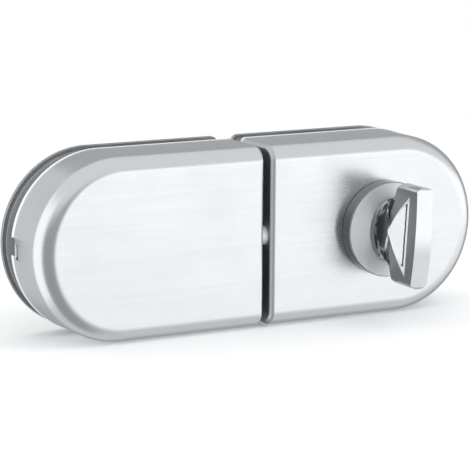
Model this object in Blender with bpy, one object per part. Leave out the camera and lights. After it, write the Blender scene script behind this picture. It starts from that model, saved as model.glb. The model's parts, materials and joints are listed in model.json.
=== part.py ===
"""A lock for a pair of frameless glass doors, in two D-shaped halves that clamp the glass.

The lock half carries a thumb turn in front, a key cylinder behind, and a rack-driven deadbolt.
The strike half carries the keeper. X runs along the lock, Y from front to back, Z up. The origin
is midway between the halves, at half height, on the front face of the glass.
"""

import bmesh
import bpy
import math
from mathutils import Matrix, Vector

# Overall form, in metres
HEIGHT = 0.0740
HALF_LENGTH = 0.0990
SEAM_GAP = 0.0030
COVER_DEPTH = 0.0262
COVER_SHEET = 0.0012
FRONT_FILLET = 0.0064
SEAM_FILLET = 0.0018
SEAM_CORNER = 0.0050
RIM_FLARE = 0.00035
RIM_BAND = 0.0018

# Clearances
TOUCH = 0.0003
GLASS_CLEAR = 0.0003

# Glass, pads and plates
GLASS = 0.0080
PAD = 0.0009
BASE_PLATE = 0.0030
BACK_PLATE = 0.0020
BACK_SEAM_SETBACK = 0.0010
BACK_CORNER = 0.0045
BACK_PAD_INSET = 0.0016
NOTCH_HALF_HEIGHT = 0.0220
NOTCH_WALL = 0.0031
STRIKE_NOTCH_END = 0.0500

# Clamp screws, with their pillars on the back plates
CLAMP_X = (0.0120, 0.0360)
CLAMP_EDGE = 0.0055
CLAMP_SHANK = 0.0025
CLAMP_HEAD = 0.0045
CLAMP_HEAD_HEIGHT = 0.0032
CLAMP_BITE = 0.0080
PILLAR_RADIUS = 0.0045
PILLAR_FLOOR = 0.0012

# Snap tab and pry notch at the round end of each cover
PRY_NOTCH_HEIGHT = 0.0070
PRY_NOTCH_DEPTH = 0.0027
TAB_HEIGHT = 0.0062
TAB_DEPTH = 0.0018
TAB_SLIT = 0.0006
TAB_DROP = 0.0021
TAB_SETBACK = 0.0033

# Deadbolt and its guide
BOLT_RADIUS = 0.0042
BOLT_SETBACK = 0.0072
BOLT_FLUSH = 0.0002
BOLT_NOSE_CHAMFER = 0.0010
BOLT_TAIL_RADIUS = 0.0026
GUIDE_LENGTH = 0.0145
GUIDE_EDGE = 0.0009
GUIDE_SCREW_EDGE = 0.0035
GUIDE_SCREW_BITE = 0.0060
GUIDE_CHAMFER = 0.0030
SMALL_SHANK = 0.0016
SMALL_HEAD = 0.0031
SMALL_HEAD_HEIGHT = 0.0022
KEEPER_LENGTH = 0.0135
KEEPER_FLOOR = 0.0015

# Rack and pinion
TEETH = 16
TOOTH_MODULE = 0.001125
PRESSURE_ANGLE = math.radians(20)
BACKLASH = 0.00034
PINION_WIDTH = 0.0050
PINION_JOURNAL = 0.0050
PINION_SHOULDER = 0.0063
QUARTER_TURN = math.pi / 2
RACK_BACK = 0.0033
RACK_FRONT_STEP = 0.0020
SPARE_TEETH = 2
CARRIAGE_BLOCK = 0.0100
CARRIAGE_BOSS_WALL = 0.0013
CARRIAGE_HALF_HEIGHT = 0.0050
CARRIAGE_PIN_RADIUS = 0.0011

# Bearing bridge over the base plate
BRIDGE_SETBACK = 0.0040
BRIDGE_SHEET = 0.0020
BRIDGE_HALF_WIDTH = 0.0095
BRIDGE_FOOT = 0.0095
BRIDGE_RAIL = 0.0055

# Leaf spring that holds the bolt where it is put
SPRING_SHEET = 0.0005
SPRING_WIDTH = 0.0060
SPRING_START = 0.0200
SPRING_FOOT = 0.0070
SPRING_SPAN = 0.0100
SPRING_REST = 0.0035

# Rose and thumb turn
TURN_X = 0.0544
ROSE_RADIUS = 0.01975
ROSE_THICKNESS = 0.0062
ROSE_EDGE = 0.0005
ROSE_SLEEVE_WALL = 0.0015
TURN_JOURNAL = 0.0086
TURN_REACH = 0.0306
TURN_HALF_THICKNESS = 0.0039
TURN_HALF_HEIGHT = 0.0208
TURN_TIP_DEPTH = 0.0146
TURN_WAIST_DEPTH = 0.0184
TURN_WAIST = 0.0129
TURN_ROOT = 0.0112
TURN_REAR_BEND = 0.0022
TURN_CORNER = 0.0026
TURN_DOME = 0.0020
TURN_CROWN = 0.0011
TURN_EDGE = 0.0005
TURN_REST_TILT = math.radians(3.6)
FLARE_HALF_WIDTH = 0.0098
FLARE_HALF_HEIGHT = 0.0132
FLARE_TOP_HALF_HEIGHT = 0.0118
FLARE_SINK = 0.0003
FLARE_DEPTH = 0.0085
FLARE_SWEEP = 2.5
POCKET_HALF_HEIGHT = 0.0161
POCKET_DEPTH = 0.0022
POCKET_BAR = 0.0061
POCKET_HEEL = 0.0090
POCKET_SWEEP = 0.66
WASHER = 0.0006
WASHER_RADIUS = 0.0130
CLIP = 0.0010
CLIP_RADIUS = 0.0116
CLIP_GROOVE = 0.0009
CLIP_MOUTH = 0.0065
SPINDLE_HALF = 0.0027
SPINDLE_GRIP = 0.0125
SPINDLE_REAR = 0.0083
SPINDLE_SLOT = 0.0040

# Key cylinder
CYLINDER_RADIUS = 0.0130
CYLINDER_PROUD = 0.0032
CYLINDER_HEAD_RADIUS = 0.0150
CYLINDER_HEAD = 0.0016
RING_RADIUS = 0.0178
RING_TAPER = 0.0016
PLUG_RADIUS = 0.0065
PLUG_PROUD = 0.0004
KEYWAY_WIDTH = 0.0021
KEYWAY_HEIGHT = 0.0086
KEYWAY_DEPTH = 0.0110
TAILPIECE_THICKNESS = 0.0020
TAILPIECE_WIDTH = 0.0050
TAILPIECE_CLEAR = 0.0025
TAILPIECE_GRIP = 0.0040
CYLINDER_SCREW_X = 0.0092
CYLINDER_SCREW_BITE = 0.0070

# Roundness of the meshes
END_STEPS = 34
CORNER_STEPS = 5
FILLET_STEPS = 5
INNER_FILLET_STEPS = 3
ROUND_STEPS = 40
SMALL_STEPS = 10
BEND_STEPS = 4
FLARE_STEPS = 6
POCKET_STEPS = 7
DOME_STEPS = 4
CROWN_STEPS = 8
SPRING_STEPS = 8
MERGE = 0.000001
SMOOTH_ANGLE = math.radians(28)

# Places that follow from the sizes above
HALF_HEIGHT = HEIGHT / 2
SEAM = SEAM_GAP / 2
END = SEAM + HALF_LENGTH
END_CENTRE = END - HALF_HEIGHT
COVER_REAR = -GLASS_CLEAR
COVER_FRONT = COVER_REAR - COVER_DEPTH
COVER_INSIDE = COVER_FRONT + COVER_SHEET
BASE_REAR = -(PAD + TOUCH)
BASE_FRONT = BASE_REAR - BASE_PLATE
BACK_FRONT = GLASS + PAD + TOUCH
BACK_REAR = BACK_FRONT + BACK_PLATE
INNER_START = SEAM + COVER_SHEET + TOUCH
LOCK_NOTCH_END = TURN_X + CYLINDER_RADIUS + NOTCH_WALL
CLAMP_Z = NOTCH_HALF_HEIGHT - CLAMP_EDGE
GUIDE_HALF_HEIGHT = (BOLT_RADIUS + CLAMP_Z - CLAMP_HEAD) / 2 + GUIDE_EDGE
GUIDE_SCREW_Z = GUIDE_HALF_HEIGHT - GUIDE_SCREW_EDGE

BOLT_Y = COVER_FRONT + BOLT_SETBACK
PITCH_RADIUS = TEETH * TOOTH_MODULE / 2
TOOTH_PITCH = math.pi * TOOTH_MODULE
BOLT_TRAVEL = PITCH_RADIUS * QUARTER_TURN
BOLT_NOSE = SEAM + BOLT_FLUSH - BOLT_TRAVEL
GUIDE_END = INNER_START + GUIDE_LENGTH
CARRIAGE_START = GUIDE_END + TOUCH
CARRIAGE_END = CARRIAGE_START + CARRIAGE_BLOCK
ADDENDUM = TOOTH_MODULE
DEDENDUM = 1.25 * TOOTH_MODULE
RACK_TOP = PITCH_RADIUS + DEDENDUM + RACK_BACK

BRIDGE_FRONT = BOLT_Y + BRIDGE_SETBACK
BRIDGE_REAR = BRIDGE_FRONT + BRIDGE_SHEET
RACK_REAR = BRIDGE_FRONT - TOUCH
RACK_FRONT = BOLT_Y - RACK_FRONT_STEP
PINION_FRONT = BOLT_Y - PINION_WIDTH / 2
PINION_REAR = BOLT_Y + PINION_WIDTH / 2

ROSE_BORE = TURN_JOURNAL + TOUCH
ROSE_SLEEVE = ROSE_BORE + ROSE_SLEEVE_WALL
ROSE_FRONT = COVER_FRONT - ROSE_THICKNESS
ROSE_SLEEVE_END = COVER_INSIDE + TOUCH
WASHER_FRONT = ROSE_SLEEVE_END + TOUCH
CLIP_FRONT = WASHER_FRONT + WASHER + TOUCH
TURN_END = PINION_FRONT - TOUCH
TURN_FRONT = COVER_FRONT - TURN_REACH
FLARE_REAR = ROSE_FRONT - TOUCH
FLARE_FRONT = FLARE_REAR - FLARE_DEPTH
POCKET_REAR = COVER_FRONT - POCKET_HEEL
POCKET_FRONT = TURN_FRONT + POCKET_BAR
SPINDLE_HOLE = SPINDLE_HALF + TOUCH

CYLINDER_FRONT = BASE_REAR + TOUCH
CYLINDER_REAR = BACK_REAR + CYLINDER_PROUD + CYLINDER_HEAD
TAILPIECE_FRONT = -SPINDLE_REAR - SPINDLE_SLOT + TOUCH


def clear_scene():
    """Remove the objects that a new file opens with."""
    for obj in list(bpy.data.objects):
        bpy.data.objects.remove(obj, do_unlink=True)


def make_material(name, colour, roughness, metallic):
    """A plain surface finish."""
    material = bpy.data.materials.new(name)
    material.use_nodes = True
    shader = material.node_tree.nodes["Principled BSDF"]
    shader.inputs["Base Color"].default_value = (*colour, 1.0)
    shader.inputs["Roughness"].default_value = roughness
    shader.inputs["Metallic"].default_value = metallic
    material.diffuse_color = (*colour, 1.0)
    return material


def make_materials():
    """Every finish on the lock, by name."""
    return {
        "satin": make_material("satin_steel", (0.80, 0.81, 0.82), 0.32, 1.0),
        "plate": make_material("plate_steel", (0.55, 0.57, 0.59), 0.38, 1.0),
        "chrome": make_material("polished_chrome", (0.86, 0.87, 0.88), 0.06, 1.0),
        "zinc": make_material("zinc_casting", (0.62, 0.63, 0.64), 0.45, 1.0),
        "brass": make_material("turned_brass", (0.78, 0.62, 0.32), 0.30, 1.0),
        "spring": make_material("spring_steel", (0.42, 0.43, 0.45), 0.35, 1.0),
        "rubber": make_material("black_rubber", (0.03, 0.03, 0.032), 0.80, 0.0),
        "nylon": make_material("white_nylon", (0.78, 0.78, 0.75), 0.50, 0.0),
    }


def add_empty(name, place=(0.0, 0.0, 0.0)):
    """A plain axis that pieces are parented to."""
    empty = bpy.data.objects.new(name, None)
    empty.location = place
    bpy.context.scene.collection.objects.link(empty)
    return empty


def add_object(name, bm, material=None, parent=None, smooth=True):
    """Turn a finished bmesh into a named object."""
    bmesh.ops.remove_doubles(bm, verts=bm.verts, dist=MERGE)
    bmesh.ops.recalc_face_normals(bm, faces=bm.faces)
    mesh = bpy.data.meshes.new(name)
    bm.to_mesh(mesh)
    bm.free()
    if smooth:
        mesh.shade_smooth()
        mesh.set_sharp_from_angle(angle=SMOOTH_ANGLE)
    if material:
        mesh.materials.append(material)
    obj = bpy.data.objects.new(name, mesh)
    obj.parent = parent
    bpy.context.scene.collection.objects.link(obj)
    return obj


def add_tool(target, label, bm, operation):
    """Cut a hidden shape from an object, or join it on. The shape is in the object's own space."""
    tool = add_object(f"{target.name}_{label}", bm, smooth=False)
    tool.parent = target
    tool.hide_render = True
    tool.display_type = "WIRE"
    modifier = target.modifiers.new(label, "BOOLEAN")
    modifier.operation = operation
    modifier.object = tool
    modifier.solver = "EXACT"


def cut(target, label, bm):
    """Take a shape away from an object."""
    add_tool(target, label, bm, "DIFFERENCE")


def join(target, label, bm):
    """Weld a shape onto an object."""
    add_tool(target, label, bm, "UNION")


def bridge(bm, first, second):
    """Faces between two rings of vertices, or between a ring and a point."""
    count = max(len(first), len(second))
    for i in range(count):
        j = (i + 1) % count
        if len(first) == 1:
            bm.faces.new((first[0], second[j], second[i]))
        elif len(second) == 1:
            bm.faces.new((first[i], first[j], second[0]))
        else:
            bm.faces.new((first[i], first[j], second[j], second[i]))


def loft(bm, rings):
    """A closed skin over a row of rings, with a flat face on the first and the last."""
    made = [[bm.verts.new(point) for point in ring] for ring in rings]
    for first, second in zip(made, made[1:]):
        bridge(bm, first, second)
    bm.faces.new(made[0])
    bm.faces.new(list(reversed(made[-1])))


def turn_profile(bm, profile, steps=ROUND_STEPS, closed=False, centre=(0, 0)):
    """A profile of (radius, y) pairs turned about an axis along Y."""
    x, z = centre
    rings = []
    for radius, along in profile:
        if radius == 0:
            rings.append([bm.verts.new((x, along, z))])
            continue
        angles = [2 * math.pi * step / steps for step in range(steps)]
        ring = [(x + radius * math.sin(a), along, z + radius * math.cos(a)) for a in angles]
        rings.append([bm.verts.new(point) for point in ring])
    followers = rings[1:] + rings[:1] if closed else rings[1:]
    for first, second in zip(rings, followers):
        bridge(bm, first, second)


def add_prism(bm, outline, low, high, axis="Y"):
    """An outline drawn across an axis and pushed along it."""
    order = {
        "X": lambda u, v, w: (w, u, v),
        "Y": lambda u, v, w: (u, w, v),
        "Z": lambda u, v, w: (u, v, w),
    }[axis]
    loft(bm, [[order(u, v, w) for u, v in outline] for w in (low, high)])


def add_box(bm, low, high):
    """A block between two corners."""
    size = Vector(high) - Vector(low)
    middle = (Vector(high) + Vector(low)) / 2
    bmesh.ops.create_cube(bm, size=1, matrix=Matrix.Translation(middle) @ Matrix.Diagonal((*size, 1)))


def add_rod(bm, radius, start, end, steps=SMALL_STEPS):
    """A cylinder between two points."""
    line = Vector(end) - Vector(start)
    middle = (Vector(end) + Vector(start)) / 2
    turn = Vector((0, 0, 1)).rotation_difference(line).to_matrix().to_4x4()
    bmesh.ops.create_cone(
        bm,
        cap_ends=True,
        segments=steps,
        radius1=radius,
        radius2=radius,
        depth=line.length,
        matrix=Matrix.Translation(middle) @ turn,
    )


def arc(centre, radius, first, last, steps):
    """Points (u, v) round part of a circle, both ends included."""
    angles = [first + (last - first) * step / steps for step in range(steps + 1)]
    return [(centre[0] + radius * math.cos(a), centre[1] + radius * math.sin(a)) for a in angles]


def d_outline(side, seam, inset, corner):
    """Points (x, z) round a D that is square at the seam and a half circle at its outer end."""
    half = HALF_HEIGHT - inset
    right = math.pi / 2
    points = arc((seam + corner, -half + corner), corner, 2 * right, 3 * right, CORNER_STEPS)
    points += arc((END_CENTRE, 0), half, -right, right, END_STEPS)
    points += arc((seam + corner, half - corner), corner, right, 2 * right, CORNER_STEPS)
    return [(side * x, z) for x, z in points]


def cover_ring(side, inset, fillet, seam_fillet, turn, sheet):
    """One ring of a cover's skin, at an angle round its front fillet."""
    lift = 1 - math.sin(turn)
    drop = 1 - math.cos(turn)
    corner = max(SEAM_CORNER - sheet - fillet * lift, TOUCH)
    outline = d_outline(side, SEAM + inset + seam_fillet * lift, inset + fillet * lift, corner)
    front = COVER_FRONT + sheet
    corner_points = CORNER_STEPS + 1
    ring = []
    for index, (x, z) in enumerate(outline):
        from_seam = min(index, len(outline) - 1 - index)
        share = min(from_seam / (corner_points - 1), 1.0)
        share = share * share * (3 - 2 * share)
        depth = seam_fillet + (fillet - seam_fillet) * share
        ring.append((x, front + depth * drop, z))
    return ring


def cover_skin(side, sheet, steps):
    """The rings of a cover's outer or inner skin, from the rear rim to the flat front."""
    rings = []
    for flare, depth in ((RIM_FLARE, 0), (0, RIM_BAND)):
        outline = d_outline(side, SEAM + sheet, sheet - flare, SEAM_CORNER - sheet)
        rings.append([(x, COVER_REAR - depth, z) for x, z in outline])
    for step in range(steps + 1):
        turn = math.pi / 2 * (1 - step / steps)
        rings.append(
            cover_ring(side, sheet, FRONT_FILLET - sheet, SEAM_FILLET - sheet, turn, sheet)
        )
    return rings


def build_cover(name, side, material, parent):
    """A drawn sheet cover with its pry notch, snap tab and bolt hole."""
    bm = bmesh.new()
    inner = cover_skin(side, COVER_SHEET, INNER_FILLET_STEPS)
    loft(bm, list(reversed(inner)) + cover_skin(side, 0, FILLET_STEPS))
    cover = add_object(name, bm, material, parent)

    holes = bmesh.new()
    reach = 4 * COVER_SHEET
    outer = side * (END + reach)
    inner = side * (END - reach)
    notch = PRY_NOTCH_HEIGHT / 2
    add_box(
        holes,
        (min(outer, inner), COVER_REAR - PRY_NOTCH_DEPTH, -notch),
        (max(outer, inner), COVER_REAR + reach, notch),
    )
    slit_front = COVER_REAR - TAB_SETBACK - TAB_DEPTH
    slit_rear = COVER_REAR - TAB_SETBACK
    middle = -TAB_DROP
    high = middle + TAB_HEIGHT / 2
    low = middle - TAB_HEIGHT / 2
    slit = [
        (slit_rear, high),
        (slit_front, high),
        (slit_front, low),
        (slit_rear, low),
        (slit_rear, low + TAB_SLIT),
        (slit_front + TAB_SLIT, low + TAB_SLIT),
        (slit_front + TAB_SLIT, high - TAB_SLIT),
        (slit_rear, high - TAB_SLIT),
    ]
    add_prism(holes, slit, inner, outer, "X")
    add_rod(
        holes,
        BOLT_RADIUS + 2 * TOUCH,
        (side * (SEAM - COVER_SHEET), BOLT_Y, 0),
        (side * (SEAM + 2 * COVER_SHEET), BOLT_Y, 0),
        ROUND_STEPS // 2,
    )
    cut(cover, "openings", holes)
    return cover


def clamp_places(side):
    """Where the clamp screws of one half stand, as (x, z)."""
    return [(side * x, z) for x in CLAMP_X for z in (CLAMP_Z, -CLAMP_Z)]


def build_base_plate(name, side, material, parent):
    """The flat plate behind a cover that carries what works inside."""
    bm = bmesh.new()
    inset = COVER_SHEET + TOUCH
    add_prism(bm, d_outline(side, SEAM + inset, inset, SEAM_CORNER - inset), BASE_FRONT, BASE_REAR)
    plate = add_object(name, bm, material, parent)
    holes = bmesh.new()
    for x, z in clamp_places(side):
        add_rod(holes, CLAMP_SHANK + TOUCH, (x, BASE_FRONT - PAD, z), (x, PAD, z))
    block_x = side * (INNER_START + (GUIDE_LENGTH if side > 0 else KEEPER_LENGTH) / 2)
    shelf = BASE_REAR - SMALL_HEAD_HEIGHT - TOUCH
    counterbore = [
        (0, BASE_FRONT - PAD),
        (SMALL_SHANK + TOUCH, BASE_FRONT - PAD),
        (SMALL_SHANK + TOUCH, shelf),
        (SMALL_HEAD + TOUCH, shelf),
        (SMALL_HEAD + TOUCH, PAD),
        (0, PAD),
    ]
    for z in (GUIDE_SCREW_Z, -GUIDE_SCREW_Z):
        turn_profile(holes, counterbore, SMALL_STEPS, centre=(block_x, z))
    cut(plate, "holes", holes)
    return plate


def add_pad(name, side, low, high, inset, notch_end, material, parent):
    """A soft pad between a plate and the glass, open where the glass is notched."""
    bm = bmesh.new()
    top = NOTCH_HALF_HEIGHT
    outline = d_outline(1, SEAM + inset, inset, SEAM_CORNER - COVER_SHEET)
    start = SEAM + inset
    outer = [(x, z) for x, z in outline if z < -top]
    outer += [(x, z) for x, z in outline if abs(z) <= top and x > END_CENTRE]
    outer += [(x, z) for x, z in outline if z > top]
    points = outer + [(start, top), (notch_end, top), (notch_end, -top), (start, -top)]
    add_prism(bm, [(side * x, z) for x, z in points], low, high)
    return add_object(name, bm, material, parent, smooth=False)


def build_back_plate(name, side, material, parent):
    """The outer plate behind the glass, with the threaded pillars welded to it."""
    bm = bmesh.new()
    add_prism(
        bm,
        d_outline(side, SEAM + BACK_SEAM_SETBACK, 0, BACK_CORNER),
        BACK_FRONT,
        BACK_REAR,
    )
    plate = add_object(name, bm, material, parent)
    pillars = bmesh.new()
    threads = bmesh.new()
    for x, z in clamp_places(side):
        add_rod(pillars, PILLAR_RADIUS, (x, BASE_REAR + 2 * TOUCH, z), (x, BACK_FRONT + TOUCH, z))
        add_rod(
            threads,
            CLAMP_SHANK + TOUCH,
            (x, BASE_REAR - TOUCH, z),
            (x, BACK_REAR - PILLAR_FLOOR, z),
        )
    join(plate, "pillars", pillars)
    cut(plate, "threads", threads)
    return plate


def build_spacer(name, side, notch_end, material, parent):
    """The block that fills the notch in the glass between the two plates."""
    bm = bmesh.new()
    xs = sorted((side * INNER_START, side * (notch_end - TOUCH)))
    half = NOTCH_HALF_HEIGHT - TOUCH
    add_box(bm, (xs[0], BASE_REAR + TOUCH, -half), (xs[1], BACK_FRONT - TOUCH, half))
    spacer = add_object(name, bm, material, parent, smooth=False)
    holes = bmesh.new()
    for x, z in clamp_places(side):
        add_rod(holes, PILLAR_RADIUS + TOUCH, (x, BASE_REAR - PAD, z), (x, BACK_FRONT + PAD, z))
    cut(spacer, "holes", holes)
    return spacer


def screw_mesh(head, head_height, shank, length):
    """A socket-head screw pointing along +Y from its seat at y = 0."""
    socket = head * 0.5
    bm = bmesh.new()
    profile = [
        (0, -head_height / 2),
        (socket, -head_height / 2),
        (socket, -head_height),
        (head, -head_height),
        (head, 0),
        (shank, 0),
        (shank, length),
        (0, length),
    ]
    turn_profile(bm, profile, SMALL_STEPS)
    return bm


def add_screw(name, place, size, length, material, parent, backwards=False):
    """One screw with its seat at a point, going back into the lock or forwards."""
    screw = add_object(name, screw_mesh(*size, length), material, parent)
    screw.location = place
    if backwards:
        screw.rotation_euler.z = math.pi
    return screw


def add_clamp_screws(prefix, side, material, parent):
    """The screws that pull the back plate onto the glass."""
    size = (CLAMP_HEAD, CLAMP_HEAD_HEIGHT, CLAMP_SHANK)
    length = -BASE_FRONT + CLAMP_BITE
    for number, (x, z) in enumerate(clamp_places(side), 1):
        place = (x, BASE_FRONT - TOUCH, z)
        add_screw(f"{prefix}_clamp_screw_{number}", place, size, length, material, parent)


def build_block(name, side, length, bore_floor, material, parent):
    """A block on the base plate with a bore for the deadbolt, held by two screws from behind."""
    xs = sorted((side * INNER_START, side * (INNER_START + length)))
    front = COVER_INSIDE + TOUCH
    bm = bmesh.new()
    add_box(
        bm,
        (xs[0], front, -GUIDE_HALF_HEIGHT),
        (xs[1], BASE_FRONT - TOUCH, GUIDE_HALF_HEIGHT),
    )
    edges = [e for e in bm.edges if abs(e.verts[0].co.x - e.verts[1].co.x) > length / 2]
    front_edges = [e for e in edges if e.verts[0].co.y < front + TOUCH]
    bmesh.ops.bevel(
        bm, geom=front_edges, offset=GUIDE_CHAMFER, segments=3, affect="EDGES"
    )
    block = add_object(name, bm, material, parent)
    holes = bmesh.new()
    add_rod(
        holes,
        BOLT_RADIUS + TOUCH,
        (side * SEAM, BOLT_Y, 0),
        (side * (INNER_START + length - bore_floor), BOLT_Y, 0),
        ROUND_STEPS // 2,
    )
    screw_x = side * (INNER_START + length / 2)
    for z in (GUIDE_SCREW_Z, -GUIDE_SCREW_Z):
        add_rod(
            holes,
            SMALL_SHANK + TOUCH,
            (screw_x, BASE_FRONT - GUIDE_SCREW_BITE - 2 * TOUCH, z),
            (screw_x, BASE_FRONT + TOUCH, z),
        )
    cut(block, "holes", holes)
    return block


def add_block_screws(prefix, side, length, material, parent):
    """The two screws that hold a block, sunk in the rear of the base plate."""
    size = (SMALL_HEAD, SMALL_HEAD_HEIGHT, SMALL_SHANK)
    seat = BASE_REAR - SMALL_HEAD_HEIGHT
    reach = seat - (BASE_FRONT - GUIDE_SCREW_BITE)
    x = side * (INNER_START + length / 2)
    for number, z in enumerate((GUIDE_SCREW_Z, -GUIDE_SCREW_Z), 1):
        add_screw(f"{prefix}_screw_{number}", (x, seat, z), size, reach, material, parent, True)


def build_shared_half(prefix, side, notch_end, materials, parent):
    """The pieces that both halves have: cover, plates, pads, spacer and clamp screws."""
    inset = COVER_SHEET + 2 * TOUCH
    pieces = {}
    pieces["cover"] = build_cover(f"{prefix}_cover", side, materials["satin"], parent)
    pieces["base"] = build_base_plate(f"{prefix}_base_plate", side, materials["plate"], parent)
    rubber = materials["rubber"]
    add_pad(f"{prefix}_front_pad", side, -PAD, 0, inset, notch_end, rubber, parent)
    add_pad(
        f"{prefix}_back_pad", side, GLASS, GLASS + PAD, BACK_PAD_INSET, notch_end, rubber, parent
    )
    pieces["back"] = build_back_plate(f"{prefix}_back_plate", side, materials["plate"], parent)
    pieces["spacer"] = build_spacer(
        f"{prefix}_spacer", side, notch_end, materials["nylon"], parent
    )
    add_clamp_screws(prefix, side, materials["zinc"], parent)
    return pieces


def build_deadbolt(material, parent):
    """The round bolt bar, chamfered at its nose and turned down at its tail."""
    shoulder = CARRIAGE_START - TOUCH
    tail = CARRIAGE_END - TOUCH
    bm = bmesh.new()
    profile = [
        (0, BOLT_NOSE),
        (BOLT_RADIUS - BOLT_NOSE_CHAMFER, BOLT_NOSE),
        (BOLT_RADIUS, BOLT_NOSE + BOLT_NOSE_CHAMFER),
        (BOLT_RADIUS, shoulder),
        (BOLT_TAIL_RADIUS, shoulder),
        (BOLT_TAIL_RADIUS, tail),
        (0, tail),
    ]
    turn_profile(bm, profile, ROUND_STEPS // 2)
    bolt = add_object("deadbolt", bm, material, parent)
    bolt.rotation_euler.z = -math.pi / 2
    hole = bmesh.new()
    along = (CARRIAGE_START + CARRIAGE_END) / 2
    reach = 2 * BOLT_TAIL_RADIUS
    add_rod(hole, CARRIAGE_PIN_RADIUS + TOUCH, (-reach, along, 0), (reach, along, 0))
    cut(bolt, "pin_hole", hole)
    return bolt


def rack_outline():
    """Points (x, z) of the carriage: a block round the bolt's tail and a rack over the pinion."""
    root = PITCH_RADIUS + DEDENDUM
    tip = PITCH_RADIUS - ADDENDUM
    slope = math.tan(PRESSURE_ANGLE)
    half_tooth = TOOTH_PITCH / 4 - BACKLASH / 2
    half_root = half_tooth + DEDENDUM * slope
    half_tip = half_tooth - ADDENDUM * slope
    turns = round(BOLT_TRAVEL / TOOTH_PITCH)
    first = -turns - SPARE_TEETH
    points = [(CARRIAGE_START, -CARRIAGE_HALF_HEIGHT), (CARRIAGE_END, -CARRIAGE_HALF_HEIGHT)]
    points.append((CARRIAGE_END, root))
    for tooth in range(first, SPARE_TEETH + 1):
        x = TURN_X + tooth * TOOTH_PITCH
        points.append((x - half_root, root))
        points.append((x - half_tip, tip))
        points.append((x + half_tip, tip))
        points.append((x + half_root, root))
    end = TURN_X + (SPARE_TEETH + 0.5) * TOOTH_PITCH
    points += [(end, root), (end, RACK_TOP), (CARRIAGE_START, RACK_TOP)]
    return points


def build_carriage(material, parent):
    """The rack carriage, pinned to the tail of the bolt."""
    bm = bmesh.new()
    add_prism(bm, rack_outline(), RACK_FRONT - BOLT_Y, RACK_REAR - BOLT_Y)
    carriage = add_object("rack_carriage", bm, material, parent, smooth=False)
    boss = bmesh.new()
    boss_front = -(BOLT_TAIL_RADIUS + TOUCH + CARRIAGE_BOSS_WALL)
    add_box(
        boss,
        (CARRIAGE_START, boss_front, -CARRIAGE_HALF_HEIGHT),
        (CARRIAGE_END, 0, CARRIAGE_HALF_HEIGHT),
    )
    join(carriage, "boss", boss)
    bore = bmesh.new()
    add_rod(
        bore,
        BOLT_TAIL_RADIUS + TOUCH,
        (CARRIAGE_START - BOLT_RADIUS, 0, 0),
        (CARRIAGE_END + BOLT_RADIUS, 0, 0),
    )
    cut(carriage, "bore", bore)
    along = (CARRIAGE_START + CARRIAGE_END) / 2
    pin_hole = bmesh.new()
    add_rod(
        pin_hole,
        CARRIAGE_PIN_RADIUS + TOUCH,
        (along, 2 * boss_front, 0),
        (along, RACK_REAR - BOLT_Y + BOLT_RADIUS, 0),
    )
    cut(carriage, "pin_hole", pin_hole)

    pin = bmesh.new()
    add_rod(
        pin,
        CARRIAGE_PIN_RADIUS,
        (along, boss_front, 0),
        (along, RACK_REAR - BOLT_Y, 0),
    )
    add_object("carriage_pin", pin, material, parent)


def involute_point(base_radius, radius, offset, sign):
    """A point on a tooth flank at a radius, with its foot turned by an offset."""
    roll = math.sqrt(max((radius / base_radius) ** 2 - 1, 0))
    angle = offset + sign * (roll - math.atan(roll))
    return radius * math.sin(angle), radius * math.cos(angle)


def pinion_outline():
    """Points (x, z) round the pinion, with a space straight up where a rack tooth sits."""
    base_radius = PITCH_RADIUS * math.cos(PRESSURE_ANGLE)
    tip = PITCH_RADIUS + ADDENDUM
    root = PITCH_RADIUS - DEDENDUM
    thin = BACKLASH / 2 / PITCH_RADIUS
    half_tooth = math.pi / (2 * TEETH) - thin
    involute = math.tan(PRESSURE_ANGLE) - PRESSURE_ANGLE
    radii = (base_radius, PITCH_RADIUS, (PITCH_RADIUS + tip) / 2, tip)
    points = []
    for tooth in range(TEETH):
        middle = 2 * math.pi * (tooth + 0.5) / TEETH
        left = middle - half_tooth - involute
        right = middle + half_tooth + involute
        points.append((root * math.sin(left), root * math.cos(left)))
        points += [involute_point(base_radius, r, left, 1) for r in radii]
        points += [involute_point(base_radius, r, right, -1) for r in reversed(radii)]
        points.append((root * math.sin(right), root * math.cos(right)))
    return points


def square(half, low, high):
    """A square bar along the Y axis."""
    bm = bmesh.new()
    add_box(bm, (-half, low, -half), (half, high, half))
    return bm


def build_pinion(material, parent):
    """The drive pinion with the journal that runs in the bearing bridge."""
    bm = bmesh.new()
    add_prism(bm, pinion_outline(), PINION_FRONT, PINION_REAR)
    pinion = add_object("drive_pinion", bm, material, parent)
    journal = bmesh.new()
    profile = [
        (0, BOLT_Y),
        (PINION_SHOULDER, BOLT_Y),
        (PINION_SHOULDER, RACK_REAR),
        (PINION_JOURNAL, RACK_REAR),
        (PINION_JOURNAL, BRIDGE_REAR + 2 * TOUCH),
        (0, BRIDGE_REAR + 2 * TOUCH),
    ]
    turn_profile(journal, profile, ROUND_STEPS // 2)
    join(pinion, "journal", journal)
    cut(pinion, "square", square(SPINDLE_HOLE, PINION_FRONT - PAD, BRIDGE_REAR + PAD))


def build_spindle(material, parent):
    """The square bar from the thumb turn to the tailpiece, slotted at its rear."""
    front = TURN_END - SPINDLE_GRIP
    spindle = add_object(
        "spindle", square(SPINDLE_HALF, front, -SPINDLE_REAR), material, parent, smooth=False
    )
    slot = bmesh.new()
    half = TAILPIECE_THICKNESS / 2 + TOUCH
    reach = 2 * SPINDLE_HALF
    add_box(
        slot,
        (-half, -SPINDLE_REAR - SPINDLE_SLOT, -reach),
        (half, -SPINDLE_REAR + SPINDLE_SLOT, reach),
    )
    cut(spindle, "slot", slot)


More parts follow.
